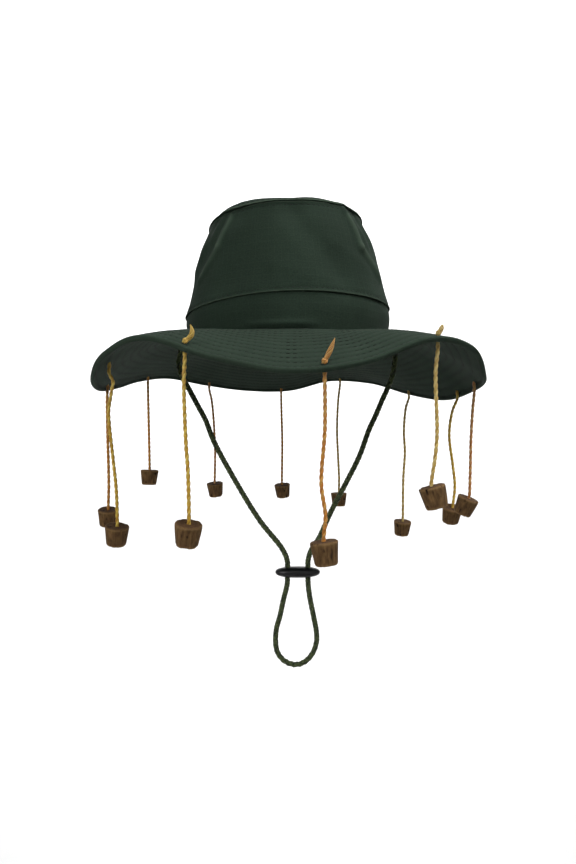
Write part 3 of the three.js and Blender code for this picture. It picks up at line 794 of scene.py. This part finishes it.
stitches = stitch_tree()
# The thread is painted darker than the cloth: painted shade in the stitched grooves.
thread_painted_shade, _, thread_shader = new_material("polyester_thread_green", "#161d16", 0.7)
thread_shader.inputs["Specular IOR Level"].default_value = 0.2
row_angles = np.linspace(0, 360, 720, endpoint=False)


def sewn(name, rows):
    piece = path_piece(name, rows, closed=True)
    grow(piece, stitches, Pitch=STITCH_PITCH * MM, Length=STITCH_LENGTH * MM,
         Thread=THREAD_DIAMETER * MM, Material=thread_painted_shade)
    return finished(piece, "cotton_cloth")


row_insets = FIRST_ROW + ROW_STEP * np.arange(ROWS)
sewn("brim_stitches_upper", [brim_surface(row_angles, inset, 1) for inset in row_insets])
sewn("brim_stitches_lower", [brim_surface(row_angles, inset, -1) for inset in row_insets])
lap_row = wall_surface(row_angles, lap_height(row_angles) + STITCH_INSET, 0)
top_row = wall_surface(row_angles, CROWN_HEIGHT - STITCH_INSET + 0 * row_angles, 0)
tip_share = np.full(row_angles.shape, 1 - STITCH_INSET / half_tip)
tip_row_places = tip_surface(row_angles, tip_share, CLOTH - GROOVE)
sewn("crown_stitches", [lap_row, top_row, tip_row_places])

# %% [markdown]
# ## Laid and braided cord
# A string is yarns wound round each other, and a braid is two sets of yarns that wind opposite ways
# and pass over and under in turn. Both are one rule: a yarn circles the cord's path at some radius,
# and in a braid that radius rises and falls. One tree makes a set of yarns from that rule, and a
# braid uses it twice round a core. A striped bump on a tube would show a smooth outline instead.

# %% Cord trees
def stored(tree, geometry, name, value):
    """Keeps a value at each point under a name, for a material to read."""
    inputs = {"Geometry": geometry, "Name": name, "Value": value}
    return made(tree, "GeometryNodeStoreNamedAttribute", inputs, data_type="FLOAT", domain="POINT")


def yarn_tree():
    """Yarns that wind round a path. Hand is 1 or -1, Weave is how far they pass over and under,
    Flare opens them halfway and Taper thins them at the end."""
    tree, given = new_tree("wound_yarns", {
        "Yarns": 2, "Yarn radius": 0.0007, "Lay radius": 0.0007, "Turn length": 0.009,
        "Hand": 1.0, "Weave": 0.0, "Flare": 0.0, "Taper": 0.0, "Step": 0.0005, "Sides": 8,
    })

    fine = even_steps(tree, given["Geometry"], given["Step"])
    copies = add(tree, "GeometryNodeDuplicateElements",
                 {"Geometry": fine, "Amount": given["Yarns"]}, domain="SPLINE")
    number = copies.outputs["Duplicate Index"]
    along = add(tree, "GeometryNodeSplineParameter")
    length, share = along.outputs["Length"], along.outputs["Factor"]
    turns_done = maths(tree, "DIVIDE", length, given["Turn length"])
    turned = product(tree, turns_done, 2 * math.pi, given["Hand"])
    start = product(tree, maths(tree, "DIVIDE", number, given["Yarns"]), 2 * math.pi)
    angle = maths(tree, "ADD", turned, start)
    crossing = maths(tree, "COSINE", product(tree, turned, given["Yarns"]))
    over = product(tree, crossing, given["Weave"], given["Hand"])
    opened = product(tree, share, maths(tree, "SUBTRACT", 1.0, share), 4.0, given["Flare"])
    flare = maths(tree, "ADD", opened, 1.0)
    ending = product(tree, maths(tree, "POWER", share, 3.0), given["Taper"])
    thinned = maths(tree, "SUBTRACT", 1.0, ending)
    radius = maths(tree, "ADD", product(tree, given["Lay radius"], flare, thinned), over)
    normal = made(tree, "GeometryNodeInputNormal")
    tangent = made(tree, "GeometryNodeInputTangent")
    third = made(tree, "ShaderNodeVectorMath", {0: tangent, 1: normal}, operation="CROSS_PRODUCT")
    out, across = (
        scaled(tree, way, product(tree, maths(tree, wave, angle), radius))
        for way, wave in ((normal, "COSINE"), (third, "SINE"))
    )
    offset = made(tree, "ShaderNodeVectorMath", {0: out, 1: across}, operation="ADD")
    numbered = stored(tree, copies.outputs["Geometry"], "yarn", number)
    measured = stored(tree, numbered, "along", length)
    wound = made(tree, "GeometryNodeSetPosition", {"Geometry": measured, "Offset": offset})
    circle = made(tree, "GeometryNodeCurvePrimitiveCircle",
                  {"Resolution": given["Sides"], "Radius": given["Yarn radius"]})
    round_it = add(tree, "GeometryNodeSplineParameter").outputs["Factor"]
    profile = stored(tree, circle, "around", round_it)
    skin = made(tree, "GeometryNodeCurveToMesh",
                {"Curve": wound, "Profile Curve": profile, "Scale": thinned, "Fill Caps": True})
    return finish_tree(tree, skin, given["Material"])


yarns = yarn_tree()


def wound(name, path, look, count, radius, lay, turn, step, closed=False, **more):
    """Yarns wound along a path: how many, their radius, the radius of their lay, one turn."""
    return grow(path_piece(name, [path], closed), yarns, **{
        "Yarns": count, "Yarn radius": radius * MM, "Lay radius": lay * MM,
        "Turn length": turn * MM, "Step": step * MM, "Material": look, **more,
    })


def braid_tree():
    """Two sets of yarns that wind opposite ways round a core."""
    tree, given = new_tree("braid", {
        "Yarns": 4, "Yarn radius": 0.0006, "Lay radius": 0.0013, "Turn length": 0.014,
        "Weave": 0.0002, "Step": 0.0007, "Sides": 6, "Core radius": 0.0012,
    })
    shared = {name: given[name] for name in ("Geometry", "Step", "Material")}
    lay = {name: given[name] for name in (
        "Yarns", "Turn length", "Sides", "Yarn radius", "Lay radius", "Weave")}
    sets = [{**lay, "Hand": hand} for hand in (1.0, -1.0)]
    core = {"Yarn radius": given["Core radius"], "Yarns": 1, "Lay radius": 0.0}
    join = add(tree, "GeometryNodeJoinGeometry")
    for inputs in (*sets, core):
        part = made(tree, "GeometryNodeGroup", {**shared, **inputs}, node_tree=yarns)
        tree.links.new(part, join.inputs[0])
    add(tree, "NodeGroupOutput", {0: join.outputs[0]})
    return tree


braid = braid_tree()

# %% [markdown]
# ## Twisted cotton string
# Two yarns of mercerised cotton, dyed in bundles, so one string runs from gold to orange and the next
# to straw or rust. Up close each yarn is a bundle of fibres that lean round it. The
# material reads the yarn's number and the length along it, which the tree stored, so the colours
# follow the yarn.

# %% String material
FIBRE_TURN = 0.35  # millimetres between the fibre streaks, drawn a little coarse


def yarn_fibres(tree, lean):
    """Number of the yarn, place along, round and between yarns, and streaks of fibres in it."""
    yarn = read(tree, "yarn")
    place = made(tree, "ShaderNodeCombineXYZ",
                 {0: read(tree, "along"), 1: read(tree, "around"), 2: yarn})
    return yarn, place, noise(tree, stretched(tree, place, lean), 1, 3)


def finish_yarn(tree, shader, colour, fibres, dark, light):
    look = scaled(tree, colour, ranged(tree, fibres, 0.3, 0.7, dark, light))
    tree.links.new(look, shader.inputs["Base Color"])
    tree.links.new(bump_on(tree, fibres, 0.5, 0.15), shader.inputs["Normal"])
    shader.inputs["Sheen Weight"].default_value = 0.2


def cotton_string(name, first, second, blush):
    material, tree, shader = new_material(name, first, 0.85)
    yarn, place, fibres = yarn_fibres(tree, (1 / (6 * FIBRE_TURN * MM), 14, 5))
    patches = noise(tree, stretched(tree, place, (70, 0.4, 3.1)), 1, 2)
    odd = maths(tree, "MODULO", yarn, 2.0)
    pair = mixed(tree, odd, linear(first), linear(second))
    warm = mixed(tree, ranged(tree, patches, 0.5, 0.72, 0, 0.8), pair, linear(blush))
    sunned = ranged(tree, read(tree, "along"), 0.02, 0.055, 0.22, 0)
    faded = mixed(tree, sunned, warm, linear("#a89c74"))
    finish_yarn(tree, shader, faded, fibres, 0.72, 1.2)
    return material


STRING_DYES = {
    "yellow": ("#c49a2c", "#d9b94e", "#b07a26"),
    "orange": ("#bb7722", "#cb9543", "#a8632a"),
    "straw": ("#b8984c", "#d2b86e", "#a47e40"),
    "rust": ("#b5743c", "#d0a062", "#9a5a30"),
}
# The dye of each string in turn
STRINGS_DYED = ("yellow", "orange", "straw", "rust", "yellow", "straw", "straw", "orange", "rust",
                "orange", "orange", "yellow")
string_looks = {
    dye: cotton_string("twisted_cotton_" + dye, *colours) for dye, colours in STRING_DYES.items()
}

# %% [markdown]
# ## Cork
# The corks are short tapered plugs cut from natural cork: a brown, matt, spongy wood. Years of growth
# show as streaks along the plug, and its breathing pores as pits and the odd long crack, which are
# painted near black as painted shade. Edges crumble, and the crumbled rims are painted paler as a
# painted highlight; the upper face is painted darker as painted shade. A plain cone with a bump would
# keep a perfect outline, so the pits and the crumbled rims are cut into the mesh, and each plug is
# crumbled differently.

# %% Cork material and mesh
def natural_cork(name, colour, dark, pale):
    material, tree, shader = new_material(name, colour, 0.92)
    place = add(tree, "ShaderNodeAttribute", attribute_name="grain").outputs["Vector"]
    growth = noise(tree, stretched(tree, place, (1, 1, 0.16)), 620, 5, Roughness=0.65)
    grit, clouds = noise(tree, place, 1500, 3), noise(tree, place, 150, 2)
    streak = ranged(tree, growth, 0.38, 0.66, 0, 1)
    base = mixed(tree, streak, linear(dark), linear(colour))
    cloudy = scaled(tree, base, ranged(tree, clouds, 0.35, 0.65, 0.8, 1.15))
    # The crumbled rims are painted paler: a painted highlight.
    light = mixed(tree, product(tree, read(tree, "worn"), grit), cloudy, linear(pale))
    # The upper face, toward the brim, is painted darker with #3d2616: painted shade.
    height = add(tree, "ShaderNodeSeparateXYZ", {0: place}).outputs["Z"]
    top_face_painted_shade = mixed(tree, ranged(tree, height, 0.0062, 0.0071, 0, 0.55), light, linear("#3d2616"))
    # Pits and the crack are painted near black: painted shade in them.
    deep = mixed(tree, read(tree, "pit"), top_face_painted_shade, linear("#1d130c"))
    tree.links.new(deep, shader.inputs["Base Color"])
    grain = bump_on(tree, growth, 0.6, 0.4)
    tree.links.new(bump_on(tree, grit, 0.5, 0.25, grain), shader.inputs["Normal"])
    shader.inputs["Specular IOR Level"].default_value = 0.2
    return material


# The last colour is the paler one of the painted highlight on the rims.
cork_look = natural_cork("natural_cork", "#775b39", "#523d26", "#a08056")
CORK_AROUND = 72
BORE_RADIUS = 1.75  # hole for the string
BORE_DEPTH = 2.4
CRUMBLE_REACH = 1.1  # how far in from a rim the cork crumbles
CRUMBLE_DEPTH, PIT_DEPTH = 0.9, 0.4
CRACK_WIDTH = 5  # degrees
PORE_LEVEL = 0.58  # the higher, the fewer pores


def cork_profile():
    """Radius and height of the plug's section, from the bottom of the string's hole round to the
    middle of the lower face."""
    top, bottom, half = CORK_TOP / 2, CORK_BOTTOM / 2, CORK_HEIGHT / 2
    bore_foot, over = half - BORE_DEPTH, np.linspace(BORE_RADIUS + 0.9, top - 0.8, 9)
    share = np.linspace(0, 1, 26)
    round_off = 0.55 * (np.exp(-share / 0.03) + np.exp(-(1 - share) / 0.03))
    under = np.linspace(bottom - 1, 0, 9)
    r = np.concatenate([[0, 1.0, BORE_RADIUS, BORE_RADIUS, BORE_RADIUS + 0.25], over,
                        top + (bottom - top) * share - round_off, under])
    z = np.concatenate([[bore_foot, bore_foot, bore_foot, half - 0.3, half], 0 * over + half,
                        half - CORK_HEIGHT * share, 0 * under - half])
    return r, z


def cork_piece(name, seed, crack, turn, at):
    """A crumbled plug. crack is the angle of a long crack, painted dark as painted shade, or None."""
    radius, height = cork_profile()
    angle = 2 * np.pi * np.arange(CORK_AROUND)[:, None] / CORK_AROUND
    local = np.stack([radius * np.sin(angle), -radius * np.cos(angle), height + 0 * angle], -1)
    out = np.stack([np.sin(angle) + 0 * radius, -np.cos(angle) + 0 * radius, 0 * local[..., 2]], -1)
    half = CORK_HEIGHT / 2
    edge = np.where(height > 0, CORK_TOP, CORK_BOTTOM) / 2
    to_rim = np.hypot(edge - radius, half - np.abs(height))
    rim = bell(to_rim, CRUMBLE_REACH)
    crumble = np.clip(soft_noise(local, 2.6, seed) - 0.05, 0, 1) * rim
    lump = 0.16 * soft_noise(local, 7, seed + 40)
    pores = soft_noise(local * (1, 1, 0.4), 1.7, seed + 80)
    pit = np.clip((pores - PORE_LEVEL) / 0.25, 0, 1) * (radius > 3)
    if crack is not None:
        swing = np.abs(from_front(np.degrees(angle) - crack - 2.2 * np.sin(height)))
        gash = bell(swing, CRACK_WIDTH) * np.clip(1.2 - np.abs((height + 1) / 5.5), 0, 1)
        pit = np.maximum(pit, gash * (to_rim > 0.5) * (radius > 4))
    on_side = (np.abs(height) < half - 0.05) & (radius > 3)
    push = lump * (radius > 2.5) - CRUMBLE_DEPTH * crumble - PIT_DEPTH * pit
    moved = local + out * np.where(on_side | (rim > 0.3), push, 0)[..., None]
    face = (np.abs(height) >= half - 0.05) & (radius > 2.2)
    sink = np.where(face, 0.5 * pit + 0.25 * np.abs(lump) + 0.5 * crumble, 0)
    moved[..., 2] -= np.sign(height) * sink
    turned = moved @ np.array(turn).T + np.array(at)
    # The crumbled rims carry a painted highlight.
    piece = ring_piece(name, turned, cork_look, np.clip(rim * 1.4, 0, 1) + 0 * angle, poles=True)
    found = {tuple(np.round(p, 2)): k for k, p in enumerate(turned.reshape(-1, 3))}
    order = [found.get(tuple(np.round(np.array(v.co) / MM, 2)), 0) for v in piece.data.vertices]
    grains = (local + (13 * seed, 0, 0)).reshape(-1, 3)[order] * MM
    # This share paints the pits and the crack near black: painted shade.
    pits = (pit + 0 * angle).ravel()[order]
    piece.data.attributes.new("grain", "FLOAT_VECTOR", "POINT").data.foreach_set(
        "vector", grains.astype(np.float32).ravel())
    piece.data.attributes.new("pit", "FLOAT", "POINT").data.foreach_set(
        "value", pits.astype(np.float32))
    return piece


# %% [markdown]
# ## Strings, knots and corks
# Each string passes down through the brim and into its cork, and is held above by an overhand knot
# with a frayed tail. A true knot is a trefoil curve: a loop that goes through itself. The tail is the
# same string let go, so its yarns open halfway and thin to the end.

# %% Strings, knots and corks
TREFOIL_REACH = 1.05  # of the knot's centreline
TREFOIL_HEIGHT = 0.75
TAIL_FLARE = 0.8  # how far a tail's yarns open halfway
KNOT_SINKS = 1  # how far the string's pull presses the knot into the cloth
STRING_YARN, STRING_LAY, STRING_TURN = 0.95, 0.42, 8.5  # radius, radius of the lay, one turn
STRING_IN_CORK = 1.9  # depth of the string's end in the cork
CRACKS = {2: 28, 8: -60, 11: 150}  # angle of the long crack, for the corks that have one


def trefoil(middle, up, reach, height):
    """A closed overhand knot's centreline, lying across a direction."""
    t = np.linspace(0, 2 * np.pi, 60, endpoint=False)
    flat = np.stack([np.sin(t) + 2 * np.sin(2 * t), np.cos(t) - 2 * np.cos(2 * t)], -1) / 3 * reach
    up = Vector(up).normalized()
    side = up.orthogonal().normalized()
    third = up.cross(side)
    return (np.array(middle) + flat[:, :1] * side + flat[:, 1:] * third
            - height * np.sin(3 * t)[:, None] * up)


for number, (angle, inset, tilt, pitch, tail, lean, curl, drops) in enumerate(HANGS, 1):
    label = f"{number:02d}"
    dye = STRINGS_DYED[number - 1]
    look, slot = string_looks[dye], "string_" + dye
    share = 1 - inset / BRIM_WIDTH
    hole = brim_middle(angle, share)
    normal = -normal_of(brim_middle, np.float64(angle), share)
    hole_width = STRING_DIAMETER + 2 * GAP
    seat = BRIM_CLOTH / 2 + GAP + math.sqrt(KNOT_DIAMETER**2 - hole_width**2) / 2
    knot_middle = hole + normal * seat
    end = hole + (drops[-1][0], 0, drops[-1][1])
    turn = Matrix.Rotation(math.radians(pitch), 3, "X") @ Matrix.Rotation(math.radians(tilt), 3, "Y")
    slant = math.sin(math.radians(math.hypot(pitch, tilt)))
    reach = CORK_HEIGHT / 2 + GAP + STRING_DIAMETER / 2 * slant
    cork_middle = end + np.array(turn @ Vector((0, 0, -reach)))
    bottom_of_hole = cork_middle + np.array(turn @ Vector((0, 0, CORK_HEIGHT / 2 - STRING_IN_CORK)))
    points = [knot_middle, hole, hole + (0, 0, -STRING_STRAIGHT)]
    points += [hole + (x, 0, z) for x, z in drops[:-1]] + [end, bottom_of_hole]
    path = smooth_path(points, 0.5)

    string = wound("string_" + label, path, look, count=2, radius=STRING_YARN, lay=STRING_LAY,
                   turn=STRING_TURN, step=0.5, Sides=10)
    finished(string, slot, "cork_string_" + label)

    knot_rest = knot_middle - normal * KNOT_SINKS
    knot_path = trefoil(knot_rest, normal, TREFOIL_REACH, TREFOIL_HEIGHT)
    knot = wound("knot_" + label, knot_path, look, count=2, radius=0.8, lay=0.4,
                 turn=6, step=0.4, closed=True)
    finished(knot, slot, "string_knot_" + label)

    side = math.radians(lean)
    tip_at = np.array([math.sin(side), 0, math.cos(side)]) * tail
    across = np.array([math.cos(side), 0, -math.sin(side)])
    t = np.linspace(0, 1, 9)[:, None]
    tail_path = smooth_path(knot_rest + tip_at * t + curl * np.sin(np.pi * t) * across, 0.4)
    frayed = wound("tail_" + label, tail_path, look, count=7, radius=0.46, lay=0.75,
                   turn=19, step=0.4, Flare=TAIL_FLARE, Taper=min(0.85, tail / 14), Sides=6)
    finished(frayed, slot)

    cork = cork_piece("plug_" + label, number, CRACKS.get(number), turn, cork_middle)
    finished(cork, "cork", "cork_" + label)

# %% [markdown]
# ## The chin cord
# A round braid of six dull green yarns on a core, four to five millimetres thick, soft enough to
# hang in one loop. It goes up through a metal eyelet at each side of the brim and is stopped by a flat knot.

# %% Chin cord
def braided_cotton(name, first, second):
    material, tree, shader = new_material(name, first, 0.85)
    yarn, _, fibres = yarn_fibres(tree, (500, 12, 5))
    tracer = made(tree, "ShaderNodeMath", {0: yarn, 1: 0.5, 2: 0.6}, operation="COMPARE")
    pair = mixed(tree, product(tree, tracer, 0.6), linear(first), linear(second))
    finish_yarn(tree, shader, pair, fibres, 0.7, 1.25)
    return material


cord_look = braided_cotton("braided_cotton_olive", "#2e3a1c", "#525f32")
CORD_YARN, CORD_LAY, CORD_CORE, CORD_TURN = 0.94, 1.4, 1.3, 15
cord_ends = [brim_middle(side, CORD_SHARE) for side in (-90, 90)]
below_ends = [end - (0, 0, CORD_STRAIGHT) for end in cord_ends]
cord_points = [cord_ends[0], below_ends[0], *[(x, 0, z) for x, z in CORD_ROUTE], below_ends[1],
               cord_ends[1]]
cord_path = smooth_path(cord_points, 0.7)
chin_cord = path_piece("chin_cord_braid", [cord_path])
grow(chin_cord, braid, **{"Yarns": 3, "Yarn radius": CORD_YARN * MM, "Lay radius": CORD_LAY * MM,
                          "Turn length": CORD_TURN * MM, "Weave": 0.25 * MM, "Step": 0.7 * MM, "Sides": 6,
                          "Core radius": CORD_CORE * MM, "Material": cord_look})
finished(chin_cord, "chin_cord", "chin_cord")

# %% [markdown]
# ## Metal rings and the slide
# The eyelets are pressed rings with a rolled lip. The vents in the crown are lacquered dark bronze
# and the ones for the cord plain aluminium. A lathe profile spun round is all that a pressed ring is.
# The slide is moulded from black acetal: an olive with a flattened oval face and two holes, a little
# glossy where it is handled.

# %% Rings and slide
def metal(name, colour, roughness):
    material, tree, shader = new_material(name, colour, roughness)
    shader.inputs["Metallic"].default_value = 1
    place = add(tree, "ShaderNodeTexCoord").outputs["Object"]
    scuffs = noise(tree, place, 900, 4)
    rough = ranged(tree, scuffs, 0.3, 0.7, roughness - 0.08, roughness + 0.12)
    tree.links.new(rough, shader.inputs["Roughness"])
    tree.links.new(bump_on(tree, scuffs, 0.15, 0.05), shader.inputs["Normal"])
    return material


def spun_ring(name, profile, at, up, material, sides=64):
    """A closed [radius, height] profile spun round an axis."""
    r, h = np.array(profile, float).T
    angle = 2 * np.pi * np.arange(sides)[:, None] / sides
    local = np.stack([r * np.cos(angle), r * np.sin(angle), h + 0 * angle], -1)
    turn = np.array(Vector((0, 0, 1)).rotation_difference(Vector(up)).to_matrix())
    return ring_piece(name, local @ turn.T + np.array(at), material)


def rolled_lip(inner, outer, low, high, tail):
    """Section of a pressed ring: a rolled lip, and a barrel that goes down to tail."""
    middle, half = (inner + outer) / 2, (outer - inner) / 2
    arch = [(middle + half * math.cos(t), low + (high - low) * math.sin(t))
            for t in np.linspace(0, math.pi, 9)]
    return arch + [(inner, tail), (inner + 0.35, tail), (inner + 0.5, low)]


dark_bronze = metal("lacquered_bronze", "#4a4034", 0.42)
aluminium = metal("pressed_aluminium", "#b9bcbd", 0.35)
VENT_DIAMETER, VENT_BORE, VENT_RISE = 8, 4, 0.58
CORD_EYELET_RADIUS = 4.75
LIP_HEIGHT = 1.2  # of every ring
STOP_RISE, STOP_REACH = 2.2, 2.5  # the stop knot above the cloth's face, and its centreline's reach
for side, angle in (("right", -90.0), ("left", 90.0)):
    at, up = crown_at(angle, VENT_RISE), normal_of(crown_at, np.float64(angle), VENT_RISE)
    section = rolled_lip(VENT_BORE / 2, VENT_DIAMETER / 2, 0.2, LIP_HEIGHT, -CLOTH - 0.9)
    vent = spun_ring("vent_ring_" + side, section, at, up, dark_bronze)
    finished(vent, "vent_metal", "vent_eyelet_" + side)

    at, up = brim_middle(angle, CORD_SHARE), -normal_of(brim_middle, np.float64(angle), CORD_SHARE)
    under = at - (0, 0, (BRIM_CLOTH / 2 + GAP) / up[2])
    section = rolled_lip(CORD_DIAMETER / 2 + GAP, CORD_EYELET_RADIUS, 0, LIP_HEIGHT, -0.2)
    eyelet = spun_ring("cord_ring_" + side, section, under, -up, aluminium)
    finished(eyelet, "eyelet_metal", "cord_eyelet_" + side)

    stop = trefoil(at + up * (BRIM_CLOTH / 2 + STOP_RISE), up, STOP_REACH, TREFOIL_HEIGHT)
    stop_knot = wound("cord_stop_" + side, stop, cord_look, count=3, radius=0.75, lay=0.62,
                      turn=9, step=0.6, closed=True)
    finished(stop_knot, "chin_cord", "cord_knot_" + side)


SLIDE_WIDTH, SLIDE_HEIGHT, SLIDE_DEPTH, SLIDE_HOLES = 38.4, 9.6, 15, 18
SLIDE_FULLNESS = 2.4
SLIDE_FACE = 0.9  # share of the half depth where the oval face is cut flat
SLIDE_MIDDLE = (8.3, 0, -192.9)


def acetal(name, colour):
    material, tree, shader = new_material(name, colour, 0.38)
    place = add(tree, "ShaderNodeTexCoord").outputs["Object"]
    orange_peel = noise(tree, place, 700, 3)
    rough = ranged(tree, orange_peel, 0.3, 0.7, 0.3, 0.5)
    tree.links.new(rough, shader.inputs["Roughness"])
    tree.links.new(bump_on(tree, orange_peel, 0.12, 0.08), shader.inputs["Normal"])
    return material


def slide_piece():
    t = np.sin(np.linspace(-np.pi / 2, np.pi / 2, 61))
    radius = SLIDE_HEIGHT / 2 * (1 - np.abs(t) ** SLIDE_FULLNESS) ** (1 / SLIDE_FULLNESS)
    angle = 2 * np.pi * np.arange(72)[:, None] / 72
    depth = radius * SLIDE_DEPTH / SLIDE_HEIGHT * np.sin(angle)
    limit = SLIDE_FACE * SLIDE_DEPTH / 2
    depth = np.sign(depth) * np.minimum(np.abs(depth), limit + 0.15 * (np.abs(depth) - limit))
    body = np.stack([SLIDE_WIDTH / 2 * t + 0 * angle, depth, radius * np.cos(angle)], -1)
    plastic = acetal("acetal_black", "#0e0f10")
    piece = ring_piece("slide_olive", body + np.array(SLIDE_MIDDLE), plastic, poles=True)
    for side in (-1, 1):
        place = (Vector(SLIDE_MIDDLE) + Vector((side * SLIDE_HOLES / 2, 0, 0))) * MM
        bpy.ops.mesh.primitive_cylinder_add(
            vertices=40, radius=(CORD_DIAMETER / 2 + GAP) * MM, depth=3 * SLIDE_HEIGHT * MM,
            location=place)
        drill = bpy.context.object
        cut = piece.modifiers.new("hole", "BOOLEAN")
        cut.object, cut.operation, cut.solver = drill, "DIFFERENCE", "EXACT"
        evaluated = piece.evaluated_get(bpy.context.evaluated_depsgraph_get())
        mesh = bpy.data.meshes.new_from_object(evaluated)
        piece.modifiers.remove(cut)
        old, piece.data = piece.data, mesh
        bpy.data.meshes.remove(old)
        bpy.data.objects.remove(drill)
    piece.data.materials.clear()
    piece.data.materials.append(plastic)
    return piece


slide = slide_piece()
finished(slide, "slide_plastic", "cord_slide")

# %% [markdown]
# ## Floor and light
# The picture is a plain product shot on white: a broad light above and in front, and a pale room that
# fills the shadows. A pale floor turns up into a wall all round, far enough away that no camera angle
# meets it, and large soft lamps stand in for the light tent.

# %% Floor and light
FLOOR_HEIGHT = -1650
FLOOR_RADIUS, FLOOR_BEND, WALL_TOP = 2600, 900, 4500
FLOOR_SIDES = 96
floor_material, _, _ = new_material("painted_floor", "#d0d0d0", 0.9)
bend = np.radians(np.linspace(0, 90, 13))
sweep = [
    (0.5, 0),
    *[(FLOOR_RADIUS + FLOOR_BEND * math.sin(t), FLOOR_BEND - FLOOR_BEND * math.cos(t)) for t in bend],
    (FLOOR_RADIUS + FLOOR_BEND, WALL_TOP),
]
angle = 2 * np.pi * np.arange(FLOOR_SIDES)[:, None] / FLOOR_SIDES
radius, height = np.array(sweep, float).T
bowl = np.stack([radius * np.cos(angle), radius * np.sin(angle), height + FLOOR_HEIGHT + 0 * angle], -1)
i, j = (k.ravel() for k in np.meshgrid(np.arange(FLOOR_SIDES), np.arange(len(sweep) - 1), indexing="ij"))
n = len(sweep)
following = (i + 1) % FLOOR_SIDES * n
bowl_faces = np.stack([i * n + j, following + j, following + j + 1, i * n + j + 1], -1).tolist()
middle = [k * n for k in range(FLOOR_SIDES)]
floor = mesh_piece("floor", bowl.reshape(-1, 3), [*bowl_faces, middle], material=floor_material)


def soft_lamp(name, place, target, size, watts, spread=180):
    data = bpy.data.lights.new(name, "AREA")
    data.shape, data.size, data.energy = "DISK", size, watts
    data.spread = math.radians(spread)
    lamp = bpy.data.objects.new(name, data)
    bpy.context.collection.objects.link(lamp)
    lamp.location = place
    lamp.rotation_euler = (Vector(target) - Vector(place)).to_track_quat("-Z", "Y").to_euler()


HAT = (0, 0, -0.03)
soft_lamp("lamp_above", (0.5, -0.25, 1.0), HAT, 0.8, 15)
soft_lamp("lamp_front_left", (-0.8, -1.2, 0.5), HAT, 0.7, 9.5)
soft_lamp("lamp_front_right", (0.75, -1.1, 0.8), HAT, 0.7, 2.6)
soft_lamp("lamp_wall_back", (0, 0.8, 2.3), (0, 3.5, 0.4), 2.6, 165, 125)
world = bpy.context.scene.world or bpy.data.worlds.new("room")
bpy.context.scene.world = world
world.use_nodes = True
world.node_tree.nodes["Background"].inputs["Color"].default_value = linear("#ffffff")
world.node_tree.nodes["Background"].inputs["Strength"].default_value = 0.13
bpy.context.scene.view_settings.view_transform = "Standard"
